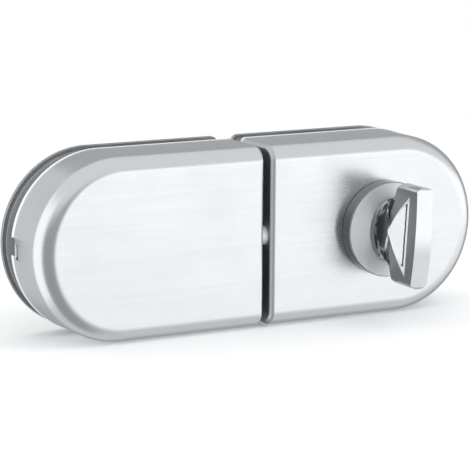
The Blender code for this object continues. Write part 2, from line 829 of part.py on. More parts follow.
def build_bridge(material, parent):
    """The bearing bridge: a web in front of the base plate on two legs, with a rail for the rack."""
    leg = RACK_TOP + TOUCH
    wall = leg + BRIDGE_SHEET
    foot_end = leg + BRIDGE_FOOT
    floor = BASE_FRONT - TOUCH
    outline = [
        (floor, foot_end),
        (floor, leg),
        (BRIDGE_REAR, leg),
        (BRIDGE_REAR, -leg),
        (floor, -leg),
        (floor, -foot_end),
        (floor - BRIDGE_SHEET, -foot_end),
        (floor - BRIDGE_SHEET, -wall),
        (BRIDGE_FRONT, -wall),
        (BRIDGE_FRONT, leg),
        (BRIDGE_FRONT - BRIDGE_RAIL, leg),
        (BRIDGE_FRONT - BRIDGE_RAIL, wall),
        (floor - BRIDGE_SHEET, wall),
        (floor - BRIDGE_SHEET, foot_end),
    ]
    bm = bmesh.new()
    add_prism(bm, outline, -BRIDGE_HALF_WIDTH, BRIDGE_HALF_WIDTH, "X")
    bridge_piece = add_object("bearing_bridge", bm, material, parent, smooth=False)
    bridge_piece.location.x = TURN_X
    holes = bmesh.new()
    add_rod(
        holes,
        PINION_JOURNAL + TOUCH,
        (0, BRIDGE_FRONT - BRIDGE_SHEET, 0),
        (0, BRIDGE_REAR + BRIDGE_SHEET, 0),
        ROUND_STEPS // 2,
    )
    for z in (bridge_screw_z(), -bridge_screw_z()):
        add_rod(
            holes,
            SMALL_SHANK + TOUCH,
            (0, floor - 2 * BRIDGE_SHEET, z),
            (0, floor + BRIDGE_SHEET, z),
        )
    cut(bridge_piece, "holes", holes)


def bridge_screw_z():
    """How far above and below the axis the bridge is screwed down."""
    return RACK_TOP + TOUCH + (BRIDGE_SHEET + BRIDGE_FOOT) / 2


def build_spring(material, parent):
    """A bowed leaf spring between the base plate and the carriage."""
    floor = BASE_FRONT - TOUCH
    lift = RACK_REAR + TOUCH + SPRING_SHEET - floor
    rise = SPRING_START + SPRING_FOOT
    rear_face = [(SPRING_START, floor), (rise, floor)]
    for step in range(1, SPRING_STEPS + 1):
        share = step / SPRING_STEPS
        rear_face.append((rise + SPRING_SPAN * share, floor + lift * math.sin(share * math.pi / 2)))
    rear_face.append((rise + SPRING_SPAN + SPRING_REST, floor + lift))
    front_face = [(x, y - SPRING_SHEET) for x, y in rear_face]
    bm = bmesh.new()
    outline = rear_face + list(reversed(front_face))
    add_prism(bm, outline, -SPRING_WIDTH / 2, SPRING_WIDTH / 2, "Z")
    spring = add_object("bolt_spring", bm, material, parent, smooth=False)
    hole = bmesh.new()
    x = SPRING_START + SPRING_FOOT / 2
    add_rod(hole, SMALL_SHANK + TOUCH, (x, floor - PAD, 0), (x, floor + PAD, 0))
    cut(spring, "hole", hole)


def build_rose(material, parent):
    """The round rose on the cover, with the sleeve that passes through it."""
    rear = COVER_FRONT - TOUCH
    bm = bmesh.new()
    profile = [
        (ROSE_BORE, ROSE_FRONT + ROSE_EDGE / 2),
        (ROSE_BORE + ROSE_EDGE / 2, ROSE_FRONT),
        (ROSE_RADIUS - ROSE_EDGE, ROSE_FRONT),
        (ROSE_RADIUS - ROSE_EDGE / 3, ROSE_FRONT + ROSE_EDGE / 3),
        (ROSE_RADIUS, ROSE_FRONT + ROSE_EDGE),
        (ROSE_RADIUS, rear),
        (ROSE_SLEEVE, rear),
        (ROSE_SLEEVE, ROSE_SLEEVE_END),
        (ROSE_BORE, ROSE_SLEEVE_END),
    ]
    turn_profile(bm, profile, closed=True)
    rose = add_object("rose", bm, material, parent)
    rose.location.x = TURN_X


def bend(before, corner, after, reach):
    """Points round a softened corner, from its first side to its second."""
    corner = Vector(corner)
    start = corner + (Vector(before) - corner).normalized() * reach
    end = corner + (Vector(after) - corner).normalized() * reach
    points = []
    for step in range(BEND_STEPS + 1):
        share = step / BEND_STEPS
        points.append(tuple(start.lerp(corner, share).lerp(corner.lerp(end, share), share)))
    return points


def blade_outline():
    """Points (y, z) round the thumb turn's blade, seen from its side."""
    top = TURN_HALF_HEIGHT
    root = (FLARE_REAR - FLARE_SINK, TURN_ROOT)
    waist = (TURN_FRONT + TURN_WAIST_DEPTH, TURN_WAIST)
    tip = (TURN_FRONT + TURN_TIP_DEPTH, top)
    front_edge = TURN_FRONT + TURN_CROWN
    corner = (front_edge, top)
    upper = [root]
    upper += bend(root, waist, tip, TURN_REAR_BEND)
    upper += bend(waist, tip, corner, TURN_EDGE)
    upper += bend(tip, corner, (front_edge, 0), TURN_CORNER)
    half = top - TURN_CORNER
    crown = []
    for step in range(1, CROWN_STEPS):
        z = half * (1 - 2 * step / CROWN_STEPS)
        crown.append((front_edge - TURN_CROWN * (1 - (z / half) ** 2), z))
    lower = [(y, -z) for y, z in reversed(upper)]
    return upper + crown + lower


def flare_half_width(y):
    """Half the width of the neck across the blade, which sweeps in from the rose to the blade."""
    share = min((FLARE_REAR - y) / FLARE_DEPTH, 1.0)
    slim = TURN_HALF_THICKNESS - FLARE_SINK
    return slim + (FLARE_HALF_WIDTH - slim) * (1 - share) ** FLARE_SWEEP


def flare_mesh():
    """The oval neck that spreads from the blade to the rose."""
    rings = []
    for step in range(FLARE_STEPS + 1):
        share = (step / FLARE_STEPS) ** 1.5
        y = FLARE_REAR - FLARE_DEPTH * share
        wide = flare_half_width(y)
        high = FLARE_HALF_HEIGHT + (FLARE_TOP_HALF_HEIGHT - FLARE_HALF_HEIGHT) * share
        angles = [2 * math.pi * turn / ROUND_STEPS for turn in range(ROUND_STEPS)]
        rings.append([(wide * math.sin(a), y, high * math.cos(a)) for a in angles])
    bm = bmesh.new()
    loft(bm, rings)
    return bm


def pocket_cutter(side):
    """The hollow in one side of the blade, which starts at a point and deepens to its front wall."""
    outside = max(flare_half_width(POCKET_REAR), TURN_HALF_THICKNESS) + TURN_EDGE
    rings = []
    for step in range(POCKET_STEPS + 1):
        share = step / POCKET_STEPS
        y = POCKET_REAR + (POCKET_FRONT - POCKET_REAR) * share
        half = max(POCKET_HALF_HEIGHT * share ** POCKET_SWEEP, TOUCH)
        floor = max(flare_half_width(y), TURN_HALF_THICKNESS) - POCKET_DEPTH * share
        corners = ((floor, -half), (floor, half), (outside, half), (outside, -half))
        rings.append([(side * x, y, z) for x, z in corners])
    bm = bmesh.new()
    loft(bm, rings)
    return bm


def dome_cutter(end):
    """What rounds off one end of the blade across its thickness."""
    radius = (TURN_HALF_THICKNESS ** 2 + TURN_DOME ** 2) / (2 * TURN_DOME)
    spread = math.asin(TURN_HALF_THICKNESS / radius)
    outline = []
    for step in range(DOME_STEPS + 1):
        angle = spread * (1 - 2 * step / DOME_STEPS)
        drop = radius * (1 - math.cos(angle))
        outline.append((radius * math.sin(angle), TURN_HALF_HEIGHT - drop))
    side = TURN_HALF_THICKNESS + TURN_EDGE
    shoulder = TURN_HALF_HEIGHT - TURN_DOME
    beyond = TURN_HALF_HEIGHT + TURN_DOME
    outline += [(-side, shoulder), (-side, beyond), (side, beyond), (side, shoulder)]
    bm = bmesh.new()
    add_prism(bm, [(x, end * z) for x, z in outline], TURN_FRONT - TURN_EDGE, FLARE_REAR)
    return bm


def build_thumb_turn(material, parent):
    """The thumb turn: a flat blade with a hollow in each side, on an oval neck and a journal."""
    bm = bmesh.new()
    add_prism(bm, blade_outline(), -TURN_HALF_THICKNESS, TURN_HALF_THICKNESS, "X")
    rim = [e for e in bm.edges if abs(e.verts[0].co.x - e.verts[1].co.x) < MERGE]
    bmesh.ops.bevel(bm, geom=rim, offset=TURN_EDGE, segments=2, affect="EDGES", profile=0.5)
    turn = add_object("thumb_turn", bm, material, parent)
    turn.rotation_euler.y = TURN_REST_TILT
    cut(turn, "dome_top", dome_cutter(1))
    cut(turn, "dome_bottom", dome_cutter(-1))
    join(turn, "flare", flare_mesh())

    groove = CLIP_FRONT - TOUCH / 2
    groove_end = CLIP_FRONT + CLIP + TOUCH / 2
    stem = bmesh.new()
    profile = [
        (0, TURN_END),
        (TURN_JOURNAL, TURN_END),
        (TURN_JOURNAL, groove_end),
        (TURN_JOURNAL - CLIP_GROOVE, groove_end),
        (TURN_JOURNAL - CLIP_GROOVE, groove),
        (TURN_JOURNAL, groove),
        (TURN_JOURNAL, FLARE_REAR - FLARE_SINK),
        (0, FLARE_REAR - FLARE_SINK),
    ]
    turn_profile(stem, profile)
    join(turn, "stem", stem)
    cut(turn, "pocket_left", pocket_cutter(-1))
    cut(turn, "pocket_right", pocket_cutter(1))
    socket_front = TURN_END - SPINDLE_GRIP - TOUCH
    cut(turn, "socket", square(SPINDLE_HOLE, socket_front, TURN_END + PAD))


def add_washer(name, inner, outer, low, high, material, parent):
    """A flat ring round the turning axis."""
    bm = bmesh.new()
    profile = [(inner, low), (outer, low), (outer, high), (inner, high)]
    turn_profile(bm, profile, ROUND_STEPS // 2, closed=True)
    return add_object(name, bm, material, parent)


def build_clip(material, parent):
    """The spring clip in the groove behind the cover, open on one side."""
    inner = TURN_JOURNAL - CLIP_GROOVE + TOUCH
    clip = add_washer(
        "retaining_clip", inner, CLIP_RADIUS, CLIP_FRONT, CLIP_FRONT + CLIP, material, parent
    )
    gap = bmesh.new()
    half = CLIP_MOUTH / 2
    add_box(
        gap,
        (-half, CLIP_FRONT - CLIP, -2 * CLIP_RADIUS),
        (half, CLIP_FRONT + 2 * CLIP, 0),
    )
    cut(clip, "mouth", gap)


def build_cylinder(materials, fixed, turning):
    """The key cylinder behind the glass: body, plug, tailpiece and trim ring."""
    head = BACK_REAR + CYLINDER_PROUD
    body_bm = bmesh.new()
    bore = PLUG_RADIUS + TOUCH
    profile = [
        (bore, CYLINDER_FRONT),
        (CYLINDER_RADIUS, CYLINDER_FRONT),
        (CYLINDER_RADIUS, head),
        (CYLINDER_HEAD_RADIUS, head),
        (CYLINDER_HEAD_RADIUS, CYLINDER_REAR - TOUCH),
        (CYLINDER_HEAD_RADIUS - TOUCH, CYLINDER_REAR),
        (bore, CYLINDER_REAR),
    ]
    turn_profile(body_bm, profile, closed=True)
    body = add_object("cylinder_body", body_bm, materials["brass"], fixed)
    body.location.x = TURN_X
    holes = bmesh.new()
    for side in (-1, 1):
        x = side * CYLINDER_SCREW_X
        start = (x, CYLINDER_FRONT - TOUCH, 0)
        end = (x, CYLINDER_FRONT + CYLINDER_SCREW_BITE + TOUCH, 0)
        add_rod(holes, SMALL_SHANK + TOUCH, start, end)
    cut(body, "screw_holes", holes)

    plug_bm = bmesh.new()
    plug_rear = CYLINDER_REAR + PLUG_PROUD
    profile = [
        (0, CYLINDER_FRONT),
        (PLUG_RADIUS, CYLINDER_FRONT),
        (PLUG_RADIUS, plug_rear - TOUCH),
        (PLUG_RADIUS - TOUCH, plug_rear),
        (0, plug_rear),
    ]
    turn_profile(plug_bm, profile, ROUND_STEPS // 2)
    plug = add_object("cylinder_plug", plug_bm, materials["chrome"], turning)
    slots = bmesh.new()
    add_box(
        slots,
        (-KEYWAY_WIDTH / 2, plug_rear - KEYWAY_DEPTH, -KEYWAY_HEIGHT / 2),
        (KEYWAY_WIDTH / 2, plug_rear + PAD, KEYWAY_HEIGHT / 2),
    )
    half = TAILPIECE_THICKNESS / 2
    add_box(
        slots,
        (-half - TOUCH, CYLINDER_FRONT - PAD, -TAILPIECE_WIDTH / 2 - TOUCH),
        (half + TOUCH, CYLINDER_FRONT + TAILPIECE_GRIP + TOUCH, TAILPIECE_WIDTH / 2 + TOUCH),
    )
    cut(plug, "slots", slots)

    tail_bm = bmesh.new()
    add_box(
        tail_bm,
        (-half, TAILPIECE_FRONT, -TAILPIECE_WIDTH / 2),
        (half, CYLINDER_FRONT + TAILPIECE_GRIP, TAILPIECE_WIDTH / 2),
    )
    add_object("tailpiece", tail_bm, materials["spring"], turning, smooth=False)

    ring_bm = bmesh.new()
    low = BACK_REAR + TOUCH
    high = head - TOUCH
    inner = CYLINDER_RADIUS + TOUCH
    profile = [
        (inner, low),
        (RING_RADIUS, low),
        (RING_RADIUS, low + (high - low) / 3),
        (RING_RADIUS - RING_TAPER, high),
        (inner, high),
    ]
    turn_profile(ring_bm, profile, closed=True)
    ring = add_object("cylinder_ring", ring_bm, materials["chrome"], fixed)
    ring.location.x = TURN_X


def through_axis(radius, low, high, steps=ROUND_STEPS):
    """A round cutter on the turning axis, for a piece that is modelled about the origin."""
    bm = bmesh.new()
    add_rod(bm, radius, (TURN_X, low, 0), (TURN_X, high, 0), steps)
    return bm


def build_lock_half(materials):
    """The half with the thumb turn, the mechanism and the key cylinder."""
    lock = add_empty("lock_half")
    turn_axis = add_empty("turn_axis", (TURN_X, 0, 0))
    plug_axis = add_empty("plug_axis", (TURN_X, 0, 0))
    bolt_axis = add_empty("bolt_axis", (0, BOLT_Y, 0))
    pieces = build_shared_half("lock", 1, LOCK_NOTCH_END, materials, lock)

    cut(
        pieces["cover"],
        "rose_hole",
        through_axis(ROSE_SLEEVE + TOUCH, COVER_FRONT - PAD, COVER_INSIDE + PAD),
    )
    cut(
        pieces["back"],
        "cylinder_hole",
        through_axis(CYLINDER_RADIUS + TOUCH, BACK_FRONT - PAD, BACK_REAR + PAD),
    )
    cut(
        pieces["spacer"],
        "cylinder_hole",
        through_axis(CYLINDER_RADIUS + TOUCH, BASE_REAR - PAD, BACK_FRONT + PAD),
    )
    tail_hole = TAILPIECE_WIDTH / 2 + TAILPIECE_CLEAR
    base_holes = through_axis(tail_hole, BASE_FRONT - PAD, BASE_REAR + PAD, SMALL_STEPS)
    screw_places = [(TURN_X + side * CYLINDER_SCREW_X, 0) for side in (-1, 1)]
    screw_places += [(TURN_X, z) for z in (bridge_screw_z(), -bridge_screw_z())]
    screw_places.append((SPRING_START + SPRING_FOOT / 2, 0))
    for x, z in screw_places:
        add_rod(base_holes, SMALL_SHANK + TOUCH, (x, BASE_FRONT - PAD, z), (x, BASE_REAR + PAD, z))
    cut(pieces["base"], "mechanism_holes", base_holes)

    build_block("bolt_guide", 1, GUIDE_LENGTH, -PAD, materials["zinc"], lock)
    add_block_screws("guide", 1, GUIDE_LENGTH, materials["zinc"], lock)
    build_bridge(materials["zinc"], lock)
    build_spring(materials["spring"], lock)
    build_rose(materials["chrome"], lock)

    small = (SMALL_HEAD, SMALL_HEAD_HEIGHT, SMALL_SHANK)
    steel = materials["zinc"]
    foot_seat = BASE_FRONT - 2 * TOUCH - BRIDGE_SHEET
    foot_length = BASE_REAR - foot_seat
    for name, z in (("top", bridge_screw_z()), ("bottom", -bridge_screw_z())):
        place = (TURN_X, foot_seat, z)
        add_screw(f"bridge_screw_{name}", place, small, foot_length, steel, lock)
    plate_seat = BASE_FRONT - TOUCH
    cylinder_length = CYLINDER_FRONT + CYLINDER_SCREW_BITE - plate_seat
    for name, side in (("left", -1), ("right", 1)):
        place = (TURN_X + side * CYLINDER_SCREW_X, plate_seat, 0)
        add_screw(f"cylinder_screw_{name}", place, small, cylinder_length, steel, lock)
    spring_seat = BASE_FRONT - 2 * TOUCH - SPRING_SHEET
    place = (SPRING_START + SPRING_FOOT / 2, spring_seat, 0)
    add_screw("spring_screw", place, small, BASE_REAR - spring_seat, steel, lock)

    build_deadbolt(materials["chrome"], bolt_axis)
    build_carriage(materials["zinc"], bolt_axis)
    build_pinion(materials["zinc"], turn_axis)
    build_spindle(materials["plate"], turn_axis)
    build_thumb_turn(materials["chrome"], turn_axis)
    add_washer(
        "wave_washer",
        ROSE_BORE,
        WASHER_RADIUS,
        WASHER_FRONT,
        WASHER_FRONT + WASHER,
        materials["spring"],
        lock,
    ).location.x = TURN_X
    build_clip(materials["spring"], turn_axis)
    build_cylinder(materials, lock, plug_axis)


def build_strike_half(materials):
    """The half that the bolt is thrown into."""
    strike = add_empty("strike_half")
    build_shared_half("strike", -1, STRIKE_NOTCH_END, materials, strike)
    build_block("keeper", -1, KEEPER_LENGTH, KEEPER_FLOOR, materials["zinc"], strike)
    add_block_screws("keeper", -1, KEEPER_LENGTH, materials["zinc"], strike)


def main():
    clear_scene()
    materials = make_materials()
    build_lock_half(materials)
    build_strike_half(materials)


main()
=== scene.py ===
"""The looks of a lock for a pair of frameless glass doors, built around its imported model."""

import json
import math

import bmesh
import bpy
from mathutils import Matrix, Vector


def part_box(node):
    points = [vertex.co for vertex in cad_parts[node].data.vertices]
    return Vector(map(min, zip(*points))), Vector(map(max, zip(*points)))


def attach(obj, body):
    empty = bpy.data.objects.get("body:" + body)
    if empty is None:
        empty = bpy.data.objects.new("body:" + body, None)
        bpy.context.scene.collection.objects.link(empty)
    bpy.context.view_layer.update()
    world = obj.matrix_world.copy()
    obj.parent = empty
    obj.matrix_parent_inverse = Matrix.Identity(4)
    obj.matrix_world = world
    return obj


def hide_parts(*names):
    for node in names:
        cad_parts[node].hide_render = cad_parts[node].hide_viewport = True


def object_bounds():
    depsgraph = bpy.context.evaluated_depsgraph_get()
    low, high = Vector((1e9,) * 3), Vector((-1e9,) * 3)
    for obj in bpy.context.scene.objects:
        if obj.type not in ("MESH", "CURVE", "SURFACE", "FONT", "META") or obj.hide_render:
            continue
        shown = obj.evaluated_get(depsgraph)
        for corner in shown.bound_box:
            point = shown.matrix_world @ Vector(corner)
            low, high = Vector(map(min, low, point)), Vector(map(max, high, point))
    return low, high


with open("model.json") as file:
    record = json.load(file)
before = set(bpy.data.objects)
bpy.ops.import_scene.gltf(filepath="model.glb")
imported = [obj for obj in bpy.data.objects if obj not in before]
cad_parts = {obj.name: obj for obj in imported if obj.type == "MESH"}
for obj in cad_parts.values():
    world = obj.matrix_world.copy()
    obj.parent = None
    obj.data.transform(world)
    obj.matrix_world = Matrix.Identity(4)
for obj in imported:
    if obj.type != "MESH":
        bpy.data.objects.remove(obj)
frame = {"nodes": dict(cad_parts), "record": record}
CAD_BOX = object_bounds()

# Drawn covers, in metres
SHEET = 0.0012
FRONT_FILLET = 0.0064
END_SPREAD = 0.22  # share by which the front fillet widens at the outer ends
SEAM_FILLET = 0.0021
RIM_FLARE = 0.00035
RIM_BAND = 0.0018
SHEET_EDGE = 0.00012
NOTCH_HEIGHT = 0.0070
NOTCH_DEPTH = 0.0027
NOTCH_RISE = 0.0008
TAB_HEIGHT = 0.0060
TAB_DEPTH = 0.0022
TAB_SLIT = 0.0011
SLIT_DEPTH = 0.0010
TAB_DROP = 0.0010
TAB_SETBACK = 0.0033
BOLT_CLEAR = 0.0004
SLEEVE_RADIUS = 0.0104  # of the hole for the rose's sleeve
FLAT_FRONT = 0.995  # least Y of the normal of a face that counts as the flat front

# Back plates
PLATE_CORNER = 0.0034
PLATE_EDGE = 0.0003
STRIKE_SETBACK = 0.0012
PILLAR_RADIUS = 0.0045
PILLAR_HOLE = 0.0028
PILLAR_FLOOR = 0.0012
FREE = 0.0003  # gap between pieces that touch

# Rose, thumb turn and bolt
ROSE_EDGE = 0.0005
ROSE_BORE = 0.0089
TURN_TILT = math.radians(3.6)
TURN_EASE = 0.00016
BLADE_HALF = 0.0039
BLADE_TOP = 0.0208
BLADE_TIP_DEPTH = 0.0146
BLADE_WAIST_DEPTH = 0.0184
BLADE_WAIST = 0.0129
BLADE_ROOT = 0.0112
BLADE_BEND = 0.0022
BLADE_CORNER = 0.0015
BLADE_DOME = 0.0020  # how far the blade's ends round off across its thickness
BLADE_CROWN = 0.0011  # how far its front edge bulges forward
BLADE_EDGE = 0.0007
NECK_HALF_WIDTH = 0.0098
NECK_HALF_HEIGHT = 0.0132
NECK_TOP_HALF_HEIGHT = 0.0118
NECK_SINK = 0.0003  # how deep its narrow end lies inside the blade
NECK_DEPTH = 0.0085
NECK_SWEEP = 3.6  # the higher, the nearer to the rose the neck flares
NECK_CROWDING = 1.6  # crowds the neck's rings towards the rose
JOURNAL = 0.0086
CLIP_GROOVE = 0.0009
POCKET_HALF_HEIGHT = 0.0161
POCKET_POINT = 0.0003  # half the height of the hollow at its heel
POCKET_DEPTH = 0.0022
POCKET_BAR = 0.0061
POCKET_HEEL = 0.0106
POCKET_SWEEP = 0.74  # the lower, the fuller the hollow's outline
BOLT_NOSE_CHAMFER = 0.0010
BOLT_TAIL_RADIUS = 0.0026
BOLT_EASE = 0.00015

# Smoothness of the meshes
END_STEPS = 120
CORNER_STEPS = 12
DOME_STEPS = 16
FILLET_STEPS = 16
INNER_STEPS = 5
ROUND_STEPS = 160
ROSE_EDGE_STEPS = 6
BOLT_STEPS = 96
PILLAR_STEPS = 64
CROWN_STEPS = 24
BEND_STEPS = 8
NECK_STEPS = 20
POCKET_STEPS = 24
SCREW_STEPS = 64
HOLE_STEPS = 48
HAIR = 0.00001  # a length too small to see
SHARP_ANGLE = math.radians(24)
FLAT_ANGLE = math.radians(0.2)
FLAT_WEIGHT = 90

# Screws, washer and key cylinder
CLAMP_HEAD_HEIGHT = 0.0032
CLAMP_SHANK = 0.0025
SMALL_HEAD_HEIGHT = 0.0022
SMALL_SHANK = 0.0016
SCREW_EDGE = 0.09  # of the head's radius
HEX_SHARE = 0.56  # of the head's radius
CUTTER_RISE = 1.5  # how high cutters reach, in head heights
STEM_START = -0.35  # where the stem starts inside the head, in head heights
WASHER_SHEET = 0.00026
WASHER_WAVES = 3.0
WASHER_FILL = 0.98  # of the free height that the waves take up
CYLINDER_STEP = 0.0020  # how far the cylinder's head stands out round its body
RING_EDGE = 0.0009
KEYWAY_HALF = 0.00105
KEYWAY_HEIGHT = 0.0086
KEYWAY_DEPTH = 0.0110
KEYWAY_RIB = 0.0006
PLUG_EASE = 0.00008

# Surface finishes
MASK_SOFT = 0.0001  # half the width of a mask's soft edge
NOISE_ROUGHNESS = 0.55
THREAD_SCALE = 450.0
# Size of the painted shade at the bottom of the seam
FOOT_SHADE = 0.0018
SLIT_DARK = 0.000384  # depth in the sheet from which the slit is painted dark, as shade
SLIT_LIGHT = 0.000288  # depth in the sheet up to which it is steel
ROOT_EDGE = -0.0368  # Y of the edge of the neck's painted shade on the blade, at mid height
ROOT_BOW = 20.0  # how far that edge bows forward, times its height squared
NECK_FOOT = 0.0009  # depth of the ring of painted shade in front of the rose
REFLECTION_LINE_START = 0.0031  # where the painted dark reflection line starts, behind the hollow's front end
REFLECTION_LINE_WIDTH = 0.0009
REFLECTION_LINE_WAVER = 0.0011
REFLECTION_LINE_FLOOR = 0.0011  # least depth of the hollow where its painted dark reflection line shows
REFLECTION_LINE_SOFT = 0.00008

# Studio
CAMERA_YAW = math.radians(28.79)
CAMERA_PITCH = math.radians(10.65)
CAMERA_ROLL = math.radians(0.4)
CAMERA_DISTANCE = 0.94145
CAMERA_SIDE = 0.01324
CAMERA_RISE = -0.00122
CAMERA_LENS = 179.5
FLOOR_RADIUS = 0.45
FLOOR_STEPS = 96
FLOOR_FADE = (0.3, 0.9)  # where its fade starts and ends, of its radius
FLOOR_TONE = 0.93
FLOOR_LIFT = 0.13
FLOOR_ROUGHNESS = 0.9
BELOW_LEVEL = (0.66, 0.68, 0.695)
SKY_LEVEL = 0.78
SKY_EDGE = (6.0, 22.0)  # heights in degrees between which the sky starts
COOLEST = 0.95
COOL_SPAN = 0.04
EVEN_LIGHT = (0.93, 0.94, 0.95)  # what matt surfaces get from the studio
WHITE = (1.0, 1.0, 1.0, 1.0)


def cover_size(node):
    """The sizes of one cover, read from its node: where it starts and ends, and its half height."""
    low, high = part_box(node)
    seam, end = sorted((abs(low.x), abs(high.x)))
    return {
        "side": 1 if low.x > 0 else -1,
        "seam": seam,
        "end": end - RIM_FLARE,
        "half": high.z - RIM_FLARE,
        "front": low.y,
        "rear": high.y,
    }


def node_middle(node):
    """The middle of a node's box."""
    low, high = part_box(node)
    return (low + high) / 2


def node_radius(node):
    """Half the height of a node's box."""
    low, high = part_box(node)
    return (high.z - low.z) / 2


def clamp_screws(half):
    """The names of one half's clamp screws."""
    return [f"{half}_clamp_screw_{number}" for number in range(1, 5)]


LOCK = cover_size("lock_cover")
STRIKE = cover_size("strike_cover")
ROSE_LOW, ROSE_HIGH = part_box("rose")
ROSE_RADIUS = node_radius("rose")
TURN_LOW, TURN_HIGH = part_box("thumb_turn")
TURN_X = node_middle("rose").x
AXIS = (TURN_X, 0)
BOLT_Y = node_middle("deadbolt").y
BOLT_RADIUS = node_radius("deadbolt")
CYLINDER_RADIUS = node_radius("cylinder_body") - CYLINDER_STEP


# Mesh helpers


def add_object(name, data):
    """A mesh, camera or lamp as an object of the scene."""
    obj = bpy.data.objects.new(name, data)
    bpy.context.scene.collection.objects.link(obj)
    return obj


def finish_mesh(name, bm, material=None):
    """Turn a bmesh into a shaded object whose faces point outwards."""
    bmesh.ops.remove_doubles(bm, verts=bm.verts, dist=HAIR / 4)
    bmesh.ops.recalc_face_normals(bm, faces=bm.faces)
    mesh = bpy.data.meshes.new(name)
    bm.to_mesh(mesh)
    bm.free()
    mesh.shade_smooth()
    mesh.set_sharp_from_angle(angle=SHARP_ANGLE)
    if material:
        mesh.materials.append(material)
    return add_object(name, mesh)


def circle(steps):
    """The angles of the points round a circle."""
    return [2 * math.pi * step / steps for step in range(steps)]


def quarter(steps):
    """Angles from 0 to a right angle, both included."""
    return [math.pi / 2 * step / steps for step in range(steps + 1)]


def arc(centre, radius, first, last, steps):
    """Points (u, v) round part of a circle, both ends included."""
    angles = [first + (last - first) * step / steps for step in range(steps + 1)]
    return [(centre[0] + radius * math.cos(a), centre[1] + radius * math.sin(a)) for a in angles]


def skin(bm, rings, closed=False):
    """Faces over a row of rings of points, capped at both ends unless the row is closed."""
    made = [[bm.verts.new(point) for point in ring] for ring in rings]
    followers = made[1:] + made[:1] if closed else made[1:]
    for first, second in zip(made, followers):
        count = max(len(first), len(second))
        for i in range(count):
            j = (i + 1) % count
            if len(first) == 1:
                bm.faces.new((first[0], second[j], second[i]))
            elif len(second) == 1:
                bm.faces.new((first[i], first[j], second[0]))
            else:
                bm.faces.new((first[i], first[j], second[j], second[i]))
    if not closed:
        for ring in (made[0], made[-1]):
            if len(ring) > 2:
                bm.faces.new(ring)


def turned(bm, profile, centre=(0, 0), steps=ROUND_STEPS, closed=False):
    """A profile of (radius, y) pairs turned about an axis along Y."""
    x, z = centre
    rings = []
    for radius, y in profile:
        angles = circle(steps) if radius else [0.0]
        rings.append([(x + radius * math.sin(a), y, z + radius * math.cos(a)) for a in angles])
    skin(bm, rings, closed)


def lathed(name, profile, material, centre=AXIS, **settings):
    """A piece that is turned whole about an axis along Y."""
    bm = bmesh.new()
    turned(bm, profile, centre, **settings)
    return finish_mesh(name, bm, material)


def rod(bm, radius, low, high, centre=(0, 0), steps=ROUND_STEPS):
    """A plain round bar along Y."""
    turned(bm, [(0, low), (radius, low), (radius, high), (0, high)], centre, steps)


def rod_along_x(bm, radius, start, end, y, steps=ROUND_STEPS // 2):
    """A plain round bar along X."""
    rings = []
    for x in (start, end):
        rings.append([(x, y + radius * math.sin(a), radius * math.cos(a)) for a in circle(steps)])
    skin(bm, rings)


def block(bm, low, high):
    """A box between two corners."""
    low, high = Vector(low), Vector(high)
    shape = Matrix.Translation((low + high) / 2) @ Matrix.Diagonal((*(high - low), 1))
    bmesh.ops.create_cube(bm, size=1, matrix=shape)


def pushed(bm, outline, low, high, axis):
    """An outline drawn across an axis and pushed along it."""
    order = {"X": lambda u, v, w: (w, u, v), "Y": lambda u, v, w: (u, w, v)}[axis]
    skin(bm, [[order(u, v, w) for u, v in outline] for w in (low, high)])


def cut(target, bm, operation="DIFFERENCE"):
    """Take a shape away from a piece, or weld it on, and keep the result as a plain mesh."""
    tool = finish_mesh("tool", bm)
    modifier = target.modifiers.new("cut", "BOOLEAN")
    modifier.operation = operation
    modifier.object = tool
    modifier.solver = "EXACT"
    freeze(target)
    weld(target)
    bpy.data.objects.remove(tool, do_unlink=True)


def freeze(obj):
    """Replace a piece's mesh by its evaluated one and drop its modifiers."""
    depsgraph = bpy.context.evaluated_depsgraph_get()
    mesh = bpy.data.meshes.new_from_object(
        obj.evaluated_get(depsgraph), preserve_all_data_layers=True, depsgraph=depsgraph
    )
    obj.modifiers.clear()
    obj.data = mesh


def weld(obj):
    """Merge the doubled points that cutting leaves, and close the slivers that it drops."""
    bm = bmesh.new()
    bm.from_mesh(obj.data)
    bmesh.ops.remove_doubles(bm, verts=bm.verts, dist=HAIR / 5)
    bmesh.ops.holes_fill(bm, edges=[edge for edge in bm.edges if edge.is_boundary], sides=4)
    bm.to_mesh(obj.data)
    bm.free()


def merge_flats(obj):
    """Join the slivers that cutting leaves in flat faces."""
    bm = bmesh.new()
    bm.from_mesh(obj.data)
    bmesh.ops.dissolve_limit(bm, angle_limit=FLAT_ANGLE, verts=bm.verts, edges=bm.edges)
    bm.to_mesh(obj.data)
    bm.free()


def ease_edges(obj, width, segments=2, angle=32):
    """Break the sharp edges of a piece and keep its flat faces flat in reflections."""
    bevel = obj.modifiers.new("edges", "BEVEL")
    bevel.width = width
    bevel.segments = segments
    bevel.limit_method = "ANGLE"
    bevel.angle_limit = math.radians(angle)
    bevel.harden_normals = True
    freeze(obj)
    flatten_normals(obj)


def flatten_normals(obj):
    """Let large flat faces set the shading, so that they reflect without a ripple."""
    modifier = obj.modifiers.new("flat", "WEIGHTED_NORMAL")
    modifier.mode = "FACE_AREA"
    modifier.weight = FLAT_WEIGHT
    modifier.keep_sharp = True
    freeze(obj)


# Node helpers


